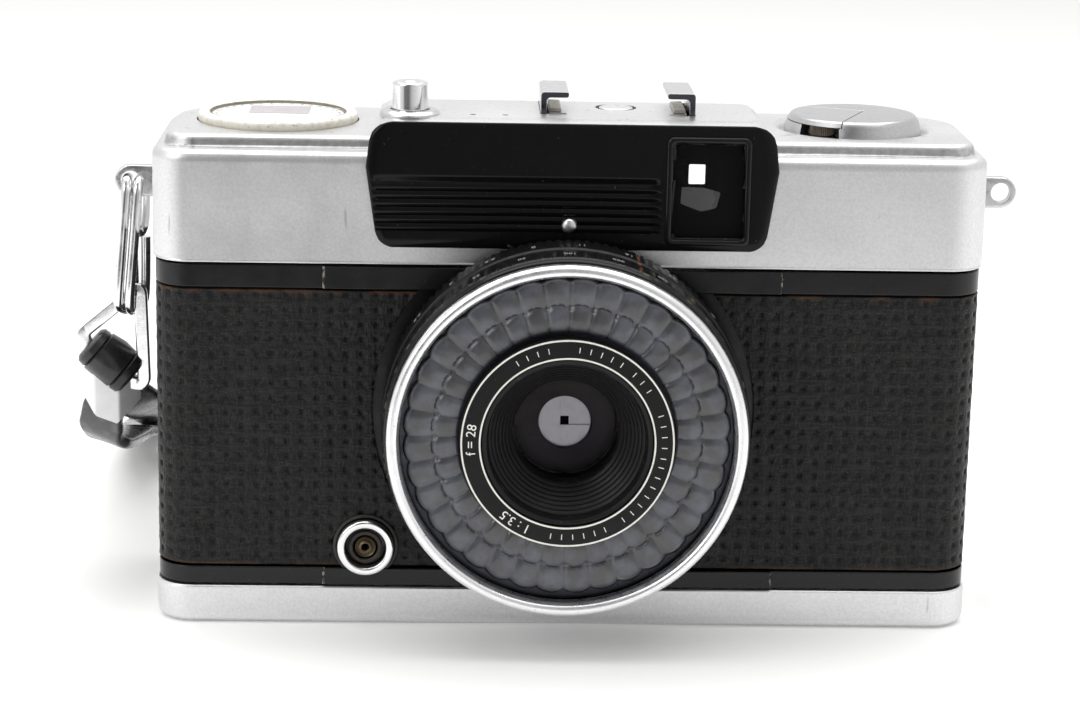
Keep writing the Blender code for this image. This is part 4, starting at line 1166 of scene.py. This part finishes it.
def make_finder_front():
    outer = rounded(11.9, 22.8, 51.9, 66.0, 0.9)
    inner = rounded(12.75, 21.95, 52.75, 65.15, 0.5)
    framed("finder_rim", outer, inner, 8.2, 9.95, ENAMEL_GLOSS, 0.35, stands_for=("finder_frame",))
    glass = rounded(12.7, 22.0, 52.7, 65.2, 0.4)
    slab("finder_glass", glass, 8.9, 9.1, THIN_GLASS, 0.05, axis='Y', stands_for=("finder_window",))
    # Painted shade: the near-black mask behind the glass stands for the shade inside the finder.
    framed("finder_mask", rounded(12.4, 22.3, 52.4, 65.5, 0.4), rounded(14.85, 16.95, 59.75, 62.3, 0.15),
           8.3, 8.45, MATT_DEEP, 0.04, slot="matt_black")
    # Painted light: the glowing patch behind the mask's opening stands for the eyepiece's light.
    slab("finder_bright", rounded(14.6, 17.2, 59.5, 62.6, 0.1), 7.9, 8.2, SKYLIGHT, 0.05, axis='Y',
         slot="clear_glass")
    prism_face = [(13.9, 57.2), (16.6, 56.2), (18.5, 56.7), (19.0, 58.7), (16.9, 59.3), (14.0, 59.4)]
    slab("finder_prism", softened(prism_face, 0.2), 8.48, 8.52, GREY_PRISM, 0.02, axis='Y',
         slot="clear_glass")
    lathe("stud_dome", [(0.0, 10.35), (0.5, 10.28), (0.82, 10.05), (1.0, 9.7), (1.03, 8.6), (0.0, 8.6)], STUD,
          DULL_CHROME, 'Y', 40, closed=False, stands_for=("index_stud",))


# ================================================================ lens group

def rim_point(angle, radius, depth):
    return (LENS[0] + radius * math.cos(angle), -depth, LENS[1] + radius * math.sin(angle))


CELL_RISE = 0.22    # the cell sits this much above the lens's axis


def make_cell_window():
    """Two rows of domed lenslets, with scalloped outer edges, over the light cell."""
    cells, fine = 36, 12
    rows = ((13.75, 17.2, 21.4), (17.2, 20.75, 21.1))
    columns = cells * fine
    points = []
    for c in range(columns):
        for low, high, front in rows:
            share = (c / fine) % 1.0
            bow = (2 * share - 1) ** 2
            angle = 2 * math.pi * c / columns
            outer = high - 0.42 * bow
            for k in range(11):
                t = k / 10
                radius = low + (outer - low) * t
                fall = 0.28 * abs(2 * share - 1) ** 5 + 0.45 * max(0.0, (t - 0.86) / 0.14) ** 1.6
                depth = front - fall + 0.14 * math.sin(math.pi * min(t, 0.9))
                x, y, z = rim_point(angle, radius, depth)
                points.append((x, y, z + CELL_RISE))
    wide = len(points) // columns
    faces = []
    for c in range(columns):
        d = (c + 1) % columns
        for k in range(wide - 1):
            faces.append((c * wide + k, c * wide + k + 1, d * wide + k + 1, d * wide + k))
    window = piece("lenslet_ring", points, faces, LENSLETS, stands_for=("cell_window",), sharp=75)
    thick = window.modifiers.new("thick", 'SOLIDIFY')
    thick.thickness = 0.15 * MM
    lathe("cell_back", corners(12.4, 21.1, 20.0, 20.25), LENS, CELL, 'Y', 96, stands_for=("selenium_cell",))


def fluted(count, deep, low, high):
    """A wave of grip flutes round an edge, between two depths."""
    def wave(angle, radius, depth):
        if low <= depth <= high:
            share = (angle * count / (2 * math.pi)) % 1.0
            radius -= deep * (0.5 - 0.5 * math.cos(2 * math.pi * share)) ** 2
        return radius, depth
    return wave


def make_setting_rings():
    profile = [(22.0, 16.4), (23.4, 16.4), (23.4, 18.2), (23.4, 20.2), (23.1, 20.8), (22.0, 20.8)]
    profile = softened(profile, 0.15)
    lathe("speed_grip", profile, LENS, WORN_KNURL, 'Y', 720, stands_for=("film_speed_ring",),
          body="film_speed_ring", wave=fluted(90, 0.45, 16.9, 20.25))
    profile = [(22.0, 10.4), (23.3, 10.4), (23.6, 10.8), (23.6, 15.7), (23.3, 16.1), (22.0, 16.1)]
    profile = softened(profile, 0.12)
    lathe("aperture_grip", profile, LENS, WORN_KNURL, 'Y', 720, stands_for=("aperture_ring",),
          body="aperture_ring", wave=fluted(120, 0.3, 10.7, 12.4))
    scale = (("3.5", -54), ("4", -39), ("5.6", -25), ("8", -11), ("11", 4), ("16", 19), ("22", 34), ("A", 52))
    for mark, degrees in scale:
        lens_mark("aperture_mark_" + mark.replace(".", "_"), mark, 1.25, degrees, 23.62, 14.0, MARK_PAINT,
                  body="aperture_ring")
    for mark, degrees in (("25", -30), ("50", -15), ("100", 0), ("200", 15), ("400", 30)):
        lens_mark("speed_mark_" + mark, mark, 1.1, degrees, 23.42, 18.6, MARK_PAINT, body="film_speed_ring")


def text_mesh(words, size):
    """The outline of some numbers, as a flat mesh centred on the origin, in millimetres."""
    letters = bpy.data.curves.new("letters", 'FONT')
    letters.body = words
    letters.size = size
    letters.align_x = 'CENTER'
    letters.align_y = 'CENTER'
    letters.extrude = 0.02
    letters.resolution_u = 3
    holder = shown_object("letters", letters)
    bpy.context.view_layer.update()
    mesh = bpy.data.meshes.new_from_object(holder.evaluated_get(bpy.context.evaluated_depsgraph_get()))
    points = [tuple(v.co) for v in mesh.vertices]
    faces = [tuple(p.vertices) for p in mesh.polygons]
    bpy.data.objects.remove(holder)
    return points, faces


NAME_RADIUS, NAME_DEPTH = 12.15, 23.4
TICK_STEP = 6.6     # degrees between the name ring's ticks


def lens_mark(name, words, size, degrees, radius, depth, look, facing=False, body="root"):
    """A mark wrapped on a ring's outer side, or on its front with its feet to the centre."""
    points, faces = text_mesh(words, size)
    wrapped = []
    for x, y, z in points:
        angle = math.radians(90 - degrees) + (-x if facing else x) / radius
        out, ahead = (y, z) if facing else (z, y)
        wrapped.append(rim_point(angle, radius + out, depth + ahead))
    piece(name, wrapped, faces, look, body=body, slot="ivory_plastic")


def name_mark(name, words, size, degrees):
    lens_mark(name, words, size, degrees, NAME_RADIUS, NAME_DEPTH, WHITE_PAINT, facing=True)


def make_lens_front():
    rim = softened([(21.15, 21.1), (21.15, 22.6), (21.45, 23.3), (21.8, RIM_FRONT), (22.35, RIM_FRONT),
                    (22.8, 23.0), (22.85, 22.2), (22.6, 21.1)], 0.25)
    lathe("chrome_rim", rim, LENS, RIM_CHROME, 'Y', 240, stands_for=("front_trim_ring",))
    shadow = softened([(22.6, 20.85), (23.15, 20.85), (23.15, 21.2), (22.9, 21.5), (22.6, 21.5)], 0.1)
    lathe("rim_shadow", shadow, LENS, ENAMEL_GLOSS, 'Y', 240, slot="black_enamel")
    ring = [(10.85, 22.5), (10.85, 23.2), (11.0, 23.4), (13.35, 23.4), (13.55, 23.1), (13.55, 22.5)]
    lathe("name_band", softened(ring, 0.12), LENS, ENAMEL_BAND, 'Y', 160, stands_for=("lens_name_ring",))
    for name, radius in (("white_circle_in", 11.03), ("white_circle_out", 13.33)):
        circle_line = softened(corners(radius - 0.11, radius + 0.11, 23.3, 23.44), 0.04)
        lathe(name, circle_line, LENS, WHITE_PAINT, 'Y', 160, slot="ivory_plastic")
    name_mark("ratio_mark", "1 : 3.5", 1.7, -148)
    name_mark("focal_mark", "f = 28", 1.7, -88)
    for group, (start, count) in enumerate(((-32, 4), (6, 5), (42, 3), (72, 5), (104, 7), (156, 6))):
        for i in range(count):
            name_mark(f"tick_{group}_{i}", "I", 1.05, start + i * TICK_STEP)


def make_barrel():
    """The stepped black mouth in front of the first lens."""
    profile = [(13.4, 21.2), (13.4, 22.4), (10.85, 22.4), (10.75, 23.0), (10.2, 22.9), (9.9, 22.0)]
    radius, depth = 9.9, 21.2
    for i in range(7):
        profile += [(radius, depth), (radius - 0.12, depth - 0.08)]
        radius -= 0.45
        depth -= 0.55
        profile += [(radius + 0.05, depth + 0.2)]
    profile += [(6.75, 17.1), (6.75, 13.2), (11.3, 13.2), (11.3, 21.2)]
    lathe("stepped_mouth", softened(profile, 0.1, steps=2), LENS, MOUTH_BLACK, 'Y', 192,
          stands_for=("lens_barrel",))
    seat = [(3.35, 12.35), (3.5, 12.8), (5.3, 13.2), (6.6, 13.4), (6.6, 12.3), (3.35, 12.25)]
    lathe("iris_seat", softened(seat, 0.12), LENS, BROWN_COATING, 'Y', 128, slot="matt_black")
    front = [(0.0, 17.15), (2.0, 17.08), (4.0, 16.85), (5.5, 16.5), (6.6, 16.1), (6.6, 15.9), (5.5, 16.28),
             (4.0, 16.63), (2.0, 16.86), (0.0, 16.93)]
    lathe("front_glass", front, LENS, COATED_GLASS, 'Y', 96, closed=False, stands_for=("front_lens_element",),
          sharp=60)


def make_diaphragm():
    """Thin grey blades with a square notch, a little uneven as stamped metal is."""
    for name, sign, near in (("diaphragm_blade_front", 1, 11.8), ("diaphragm_blade_rear", -1, 11.52)):
        notch = 0.56
        outline = [(-notch, 6.2), (-6.0, 6.2), (-7.0, 5.2), (-7.0, -4.0), (-4.0, -7.0), (5.2, -7.0),
                   (6.2, -6.0), (6.2, -notch), (-notch, -notch)]
        flat = [(LENS[0] + sign * x, LENS[1] + sign * z) for x, z in outline]
        body = "diaphragm_front" if sign > 0 else "diaphragm_rear"
        slab(name.replace("blade", "leaf"), flat, near, near + 0.24, BLADE_GREY, 0.02, axis='Y', body=body,
             stands_for=(name,))


def make_sync():
    collar = [(2.65, 5.2), (2.65, 9.3), (2.8, 9.66), (3.5, 9.72), (3.75, 9.45), (3.8, 8.85), (3.0, 8.85),
              (3.0, 5.2)]
    lathe("sync_rim", softened(collar, 0.15), SYNC, CHROME, 'Y', 80, stands_for=("sync_collar",))
    sleeve = [(1.62, 5.3), (1.62, 8.9), (1.8, 9.05), (2.15, 9.0), (2.15, 8.3), (2.6, 8.2), (2.6, 5.3)]
    lathe("sync_sleeve", softened(sleeve, 0.08), SYNC, RUSTY_BLACK, 'Y', 48, stands_for=("sync_insulator",))
    contact = [(0.48, 6.0), (0.48, 9.0), (0.62, 9.15), (0.85, 9.0), (0.9, 8.7), (1.1, 8.8), (1.3, 9.0),
               (1.38, 8.8), (1.38, 5.4), (0.48, 5.4)]
    lathe("sync_tube", softened(contact, 0.05), SYNC, DULL_BRASS, 'Y', 48, stands_for=("sync_contact",))
    washer = softened([(3.9, 8.2), (4.28, 8.2), (4.28, 8.4), (3.9, 8.5)], 0.05)
    lathe("sync_washer", washer, SYNC, RUSTY_BLACK, 'Y', 64, slot="black_enamel")


# ================================================================ top controls

def make_counter():
    bezel = softened([(9.0, 63.2), (9.0, 65.92), (9.15, 66.04), (9.7, 66.12), (10.15, 66.08), (10.42, 65.85),
                      (10.5, 65.4), (10.5, 63.2)], 0.12)
    lathe("counter_rim", bezel, COUNTER, OLD_IVORY, 'Z', 128, stands_for=("counter_bezel",))
    groove = softened([(8.82, 65.68), (8.82, 65.95), (8.99, 65.97), (8.99, 65.68)], 0.04)
    lathe("counter_groove", groove, COUNTER, GROOVE, 'Z', 128, slot="brass")
    dial = [(0.0, 65.62), (7.9, 65.62), (8.1, 65.58), (8.7, 65.6), (8.75, 63.5), (1.2, 63.5), (1.2, 55.5),
            (0.0, 55.5)]
    lathe("frame_dial", dial, COUNTER, WHITE_DIAL, 'Z', 96, closed=False, body="counter_dial",
          stands_for=("counter_dial",))
    for i in range(36):
        turn = 2 * math.pi * i / 36
        long = 1.3 if i % 5 == 0 else 0.7
        ticks = [(8.3, -0.06), (8.3, 0.06), (8.3 - long, 0.06), (8.3 - long, -0.06)]
        flat = [(COUNTER[0] + r * math.cos(turn) - s * math.sin(turn),
                 COUNTER[1] + r * math.sin(turn) + s * math.cos(turn)) for r, s in ticks]
        slab(f"dial_tick_{i}", flat, 65.57, 65.64, MATT, 0.01, body="counter_dial",
             slot="matt_black")
    cover = [(0.0, 66.04), (5.0, 66.03), (7.5, 66.0), (8.78, 65.94), (8.78, 65.72), (7.5, 65.76), (5.0, 65.8),
             (0.0, 65.82)]
    lathe("counter_glass", cover, COUNTER, THIN_GLASS, 'Z', 96, closed=False, stands_for=("counter_window",),
          sharp=60)
    patch = softened(corners(COUNTER[0] - 3.9, COUNTER[0] + 4.1, 7.0, 13.0), 0.5)
    slab("dial_index", patch, 65.64, 65.7, PATCH_GREY, 0.02, slot="ivory_plastic")


def make_button():
    collar = [(2.55, 67.1), (2.55, 67.95), (2.75, 68.1), (3.4, 68.0), (3.9, 67.6), (3.95, 67.1)]
    lathe("button_collar", softened(collar, 0.12), BUTTON, DULL_CHROME, 'Z', 72,
          stands_for=("release_collar",))
    profile = softened([(0.75, 67.8), (0.75, 71.15), (0.95, 71.42), (1.7, 71.58), (2.15, 71.55), (2.35, 71.3),
                        (2.35, 68.0), (1.4, 68.0), (1.4, 57.5), (0.2, 57.5), (0.2, 67.6)], 0.1)

    def threaded(angle, radius, depth):
        if radius < 0.9 and 68.0 < depth < 71.3:
            radius += 0.06 * math.sin(depth * 14 + angle)
        return radius, depth

    lathe("button_cap", profile, BUTTON, CHROME, 'Z', 72, body="shutter_button", wave=threaded,
          stands_for=("shutter_button",))


def make_shoe():
    """Two folded rails that rise through the hump and hook inwards, and the contact."""
    for name, side in (("rail_left", -1), ("rail_right", 1)):
        out, lip = SHOE_X + side * 10.05, SHOE_X + side * 6.4
        shape = [(out, 65.1), (out, 70.24), (lip, 70.24), (lip, 69.47), (out - side * 0.78, 69.47),
                 (out - side * 0.78, 65.1)]
        shape = softened(shape, 0.55, steps=4)
        back, front = 9.25, -1.08
        slab(name, shape, -back, -front, SHOE_CHROME, 0.12, axis='Y', stands_for=("accessory_shoe",))
        spring = softened([(lip + side * 0.9, 67.42), (lip + side * 2.5, 67.42), (lip + side * 2.5, 67.95),
                           (lip + side * 0.9, 67.85)], 0.2)
        slab(name + "_spring", spring, -8.0, -0.4, DULL_SPRING, 0.08, axis='Y', slot="bright_chrome")
    foot = softened(corners(SHOE_X - 9.2, SHOE_X + 9.2, -1.0, 9.2), 0.5)
    slab("shoe_plate", foot, 65.0, 65.8, SHOE_CHROME, 0.1, slot="bright_chrome")
    contact = [(0.05, 67.52), (0.7, 67.5), (1.9, 67.54), (2.25, 67.4), (2.3, 66.4), (0.05, 66.4)]
    lathe("contact_button", softened(contact, 0.1), (SHOE_X, 5.0), SATIN, 'Z', 56,
          stands_for=("shoe_contact",))
    lathe("contact_washer", softened([(2.38, 66.9), (2.38, 67.36), (2.66, 67.36), (2.66, 66.9)], 0.05),
          (SHOE_X, 5.0), MATT, 'Z', 56, slot="matt_black")


CRANK_EDGE = math.radians(67.3)
CRANK_START = (35.3, -0.8)
CRANK_LENGTH = 11.0


def on_knob(along, across):
    """A point on the rewind knob: along the crank's straight edge, and to its left."""
    return (CRANK_START[0] + along * math.cos(CRANK_EDGE) - across * math.sin(CRANK_EDGE),
            CRANK_START[1] + along * math.sin(CRANK_EDGE) + across * math.cos(CRANK_EDGE))


def knob_part(x0, x1, y0, y1):
    """A rectangle on the rewind knob, set along the crank's straight edge."""
    return [on_knob(*corner) for corner in corners(x0, x1, y0, y1)]


KNOB_STEPS = 144
KNOB_TOP = [(0.0, 66.78), (7.85, 66.78), (8.15, 66.72), (8.36, 66.54), (8.7, 66.0)]


def make_rewind():
    """A turned knob with a split top: the left part is the folding crank."""
    whole = KNOB_TOP + [(9.15, 64.45), (9.1, 64.3), (0.0, 64.3)]
    knob = lathe("knob_body", whole, REWIND, KNOB_SILVER, 'Z', KNOB_STEPS, closed=False, body="rewind_knob")
    far = CRANK_LENGTH + 0.25
    pocket = knob_part(-6.0, far, 0.0, 18.0)
    notch = [(29.9, -3.0), (34.9, -3.0), (34.9, 4.3), (31.6, 4.3), (29.9, 2.0)]
    carve(knob, plug(pocket, 65.9, 68.0), plug(notch, 64.0, 68.0))
    dressed(knob, KNOB_SILVER, body="rewind_knob", stands_for=("rewind_knob",), soft=0.06)
    crank = lathe("crank_arm", KNOB_TOP + [(0.0, 66.0)], REWIND, KNOB_SILVER, 'Z', KNOB_STEPS, closed=False,
                  body="rewind_crank")
    right = knob_part(-20.0, 30.0, -20.0, 0.14)
    beyond = knob_part(CRANK_LENGTH, 32.0, -20.0, 20.0)
    carve(crank, plug(right, 60.0, 70.0), plug(beyond, 60.0, 70.0))
    dressed(crank, KNOB_SILVER, body="rewind_crank", stands_for=("rewind_crank",), soft=0.07)
    handle = softened([(0.05, 64.6), (1.5, 64.6), (1.6, 64.8), (1.6, 66.05), (0.05, 66.05)], 0.08)

    def knurled(angle, radius, depth):
        return radius - 0.1 * (radius > 1.0) * (0.5 + 0.5 * math.sin(36 * angle)), depth

    lathe("crank_grip", handle, (33.1, 2.4), BROWN_GRIP, 'Z', 288, body="rewind_crank", slot="brass",
          wave=knurled)


def make_lug_piece(name, side):
    """A forged strap eye with rounded faces."""
    node = "lug_left" if side < 0 else "lug_right"
    nose = arc(LUG_X, LUG_Z, 2.1, -80, 80, 24)
    outline = [(54.4, 54.3), (LUG_X, 54.3)] + nose + [(LUG_X, 58.5), (54.4, 58.5)]
    outline = [(side * x, z) for x, z in outline]
    lug = slab(name, outline, -(LUG_Y + 0.78), -(LUG_Y - 0.78), DULL_CHROME, 0.28, axis='Y',
               stands_for=(node,))
    carve(lug, plug(circle((side * LUG_X, LUG_Z), 1.3, 48), -12.0, -3.0, 'Y'))
    dressed(lug, DULL_CHROME, stands_for=(node,), soft=0.12)
    ends = sorted((side * 52.5, side * 54.8))
    stem = softened(corners(*ends, 54.45, 58.35), 0.2)
    slab(name + "_stem", stem, -(LUG_Y + 0.58), -(LUG_Y - 0.58), DULL_CHROME, 0.1, axis='Y',
         slot="bright_chrome")


# ================================================================ back, door and small parts

def make_door():
    """The hinged back: an enamelled panel with its own cloth."""
    plate = rounded(-50.2, 53.4, 20.0, 21.72, 0.4, 0.5, 4)
    slab("door_panel", plate, 5.6, 48.3, ENAMEL, 0.25, body="back_door", stands_for=("back_door",))
    lathe("door_hinge", softened(corners(0.9, 1.5, 5.6, 48.3), 0.15), (-51.0, 20.9), ENAMEL, 'Z', 40,
          body="back_door", slot="black_enamel")

    def cloth_point(row, column, lift):
        (z, deep_z), (x, deep_x) = row, column
        edge = min(deep_x, 0.0) + min(deep_z, 0.0)
        pit = min(max(deep_x, 0.0), max(deep_z, 0.0))
        raised = lift or max(edge, -0.2) - pit * 0.9 + 0.012 * math.sin(x * 1.1 + z)
        return (-48.7 + x, 22.42 + raised, 6.7 + z)

    sheet("back_cloth", pit_lines(40.6, 0.3), pit_lines(101.5, 0.3), cloth_point, 0.42, BACK_LEATHER,
          body="back_door", stands_for=("back_leatherette",), sharp=60)


def make_wheel():
    """The film advance wheel with a milled rim."""
    profile = softened([(1.5, 52.9), (9.9, 52.95), (10.35, 52.7), (10.5, 52.3), (10.5, 50.0), (10.35, 49.6),
                        (9.9, 49.35), (1.5, 49.4)], 0.12)

    def milled(angle, radius, depth):
        if radius > 10.2:
            share = (angle * 72 / (2 * math.pi)) % 1.0
            radius -= 0.42 * (1 - abs(2 * share - 1)) ** 0.8
        return radius, depth

    lathe("wheel_rim", profile, WHEEL, SATIN, 'Z', 576, body="advance_wheel", wave=milled,
          stands_for=("advance_wheel",), sharp=50)
    lathe("wheel_hub", softened(corners(0.1, 1.5, 49.6, 55.0), 0.1), WHEEL, STEEL, 'Z', 32,
          body="advance_wheel", slot="steel")


def make_eyepiece():
    ring = [(2.55, 20.1), (2.55, 22.2), (2.9, 23.35), (3.3, 23.55), (3.8, 23.4), (4.0, 23.0), (4.0, 20.1)]
    lathe("eyepiece_ring", [(r, -d) for r, d in softened(ring, 0.15)], EYEPIECE, ENAMEL_GLOSS, 'Y', 64,
          stands_for=("eyepiece_frame",))


def make_latch():
    outline = [(51.9, 12.45), (54.1, 12.45), (54.3, 12.8), (54.3, 15.2), (54.1, 15.55), (51.9, 15.55)]
    latch = slab("latch_slider", softened(outline, 0.25), 20.0, 34.0, SATIN, 0.4, body="door_latch",
                 stands_for=("door_latch",))
    grooves = [block(54.05, 55.0, 12.0, 16.0, z, z + 0.5) for z in (24.0, 25.2, 26.4, 27.6, 28.8, 30.0)]
    carve(latch, *grooves)
    dressed(latch, SATIN, body="door_latch", stands_for=("door_latch",), soft=0.06)


def make_tripod_bush():
    profile = [(8.4, 5.0), (8.4, 1.7), (6.3, 1.7), (6.3, 0.15), (6.1, 0.0), (3.4, 0.0), (3.2, 0.25)]
    depth = 0.5
    while depth < 4.6:
        profile += [(3.2, depth), (3.42, depth + 0.16), (3.2, depth + 0.32)]
        depth += 0.42
    profile += [(3.2, 5.0)]
    lathe("threaded_bush", profile, TRIPOD, STEEL, 'Z', 72, stands_for=("tripod_bush",), sharp=30)


# ================================================================ stage, light and camera

CAMERA_PLACE = (-15.08, -363.86, 124.85)
CAMERA_YAW = 0.032
CAMERA_PITCH = 0.244
CAMERA_ROLL = 0.020
CAMERA_LENS = 94.17


def make_camera():
    """The view from its place and angles: yaw to the right, pitch down and a little roll."""
    ahead = Vector((math.sin(CAMERA_YAW) * math.cos(CAMERA_PITCH),
                    math.cos(CAMERA_YAW) * math.cos(CAMERA_PITCH), -math.sin(CAMERA_PITCH)))
    level = Vector((math.cos(CAMERA_YAW), -math.sin(CAMERA_YAW), 0.0))
    above = level.cross(ahead)
    right = math.cos(CAMERA_ROLL) * level + math.sin(CAMERA_ROLL) * above
    up = math.cos(CAMERA_ROLL) * above - math.sin(CAMERA_ROLL) * level
    view = Matrix((right, up, -ahead)).transposed().to_4x4()
    view.translation = Vector(CAMERA_PLACE) * MM
    data = bpy.data.cameras.new("view")
    data.lens = CAMERA_LENS
    data.sensor_width = 36.0
    data.clip_start = 0.01
    camera = shown_object("view", data)
    camera.matrix_world = view
    bpy.context.scene.camera = camera


def area_light(name, place, aim, size, power):
    data = bpy.data.lights.new(name, 'AREA')
    data.shape = 'RECTANGLE'
    data.size, data.size_y = size
    data.energy = power
    lamp = shown_object(name, data)
    lamp.location = place
    lamp.rotation_euler = (Vector(aim) - Vector(place)).to_track_quat('-Z', 'Y').to_euler()


def make_room():
    """A white room; a dark stripe ahead, a little to the left, stands for the viewer."""
    world = bpy.data.worlds.new("studio")
    world.use_nodes = True
    new, link = world.node_tree.nodes.new, world.node_tree.links.new
    background = world.node_tree.nodes["Background"]
    parts = new("ShaderNodeSeparateXYZ")
    link(new("ShaderNodeTexCoord").outputs["Generated"], parts.inputs["Vector"])
    ahead = new("ShaderNodeMath")
    ahead.operation = 'MULTIPLY'
    ahead.inputs[1].default_value = -1.0
    link(parts.outputs["Y"], ahead.inputs[0])
    turn = new("ShaderNodeMath")
    turn.operation = 'ARCTAN2'
    link(parts.outputs["X"], turn.inputs[0])
    link(ahead.outputs["Value"], turn.inputs[1])
    share = new("ShaderNodeMapRange")
    share.inputs["From Min"].default_value = -math.pi
    share.inputs["From Max"].default_value = math.pi
    link(turn.outputs["Value"], share.inputs["Value"])
    ring = new("ShaderNodeValToRGB")
    line = ring.color_ramp
    stops = ((-180, 1.0), (-70, 1.0), (-44, 0.75), (-36, 0.22), (-8, 0.16), (2, 0.40), (12, 0.62), (60, 1.0))
    while len(line.elements) < len(stops):
        line.elements.new(0.5)
    for element, (degrees, tone) in zip(line.elements, stops):
        element.position = 0.5 + degrees / 360
        element.color = (tone, tone, tone * 0.995, 1.0)
    link(share.outputs["Result"], ring.inputs["Fac"])
    link(ring.outputs["Color"], background.inputs["Color"])
    background.inputs["Strength"].default_value = 0.95
    bpy.context.scene.world = world


def make_stage():
    mesh = bpy.data.meshes.new("floor")
    cage = bmesh.new()
    bmesh.ops.create_grid(cage, x_segments=8, y_segments=8, size=1.0)
    cage.to_mesh(mesh)
    cage.free()
    floor = shown_object("floor", mesh)
    floor.scale = (1.6, 1.2, 1.0)
    floor.location = (0.0, 1.03, -0.00005)
    pale = Finish("pale_floor", (0.88, 0.875, 0.865), 0.6)
    pale.wear(pale.noise(40.0, 3.0), (0.86, 0.86, 0.855), 0.5)
    # Painted light: the floor glows faintly from its front edge and fades out just behind the camera, lifting
    # the shade in front of it.
    pale.paint("Emission Color", pale.along("Y", (-900, 0.18), (-790, 0.09), (-650, 0.0)))
    pale.fix(pale.shader, "Emission Strength", 1.0)
    mesh.materials.append(pale.made)
    make_room()
    bpy.context.scene.view_settings.view_transform = 'Standard'
    area_light("overhead", (0.0, 0.10, 0.70), (0.0, 0.02, 0.03), (0.9, 0.7), 4.5)
    area_light("left_front", (-0.55, -0.45, 0.42), (0.0, 0.0, 0.03), (0.45, 0.45), 1.6)


# ================================================================ the whole camera

dress_frame()
for blade in ("shutter_blade_left", "shutter_blade_right"):
    frame["nodes"][blade].data.materials[0] = MATT_DEEP
make_camera()
make_wrist_strap()
make_stage()
make_strap_link()
make_strap_ring()
make_strap_loop()
make_strap_clamp()
make_cover()
make_base_shell()
make_cloth("cloth_left", -1)
make_cloth("cloth_right", 1)
make_trim_bands()
make_front_plate()
make_finder_front()
make_cell_window()
make_setting_rings()
make_lens_front()
make_barrel()
make_diaphragm()
make_sync()
make_counter()
make_button()
make_shoe()
make_rewind()
make_lug_piece("left_eye", -1)
make_lug_piece("right_eye", 1)
make_door()
make_wheel()
make_eyepiece()
make_latch()
make_tripod_bush()
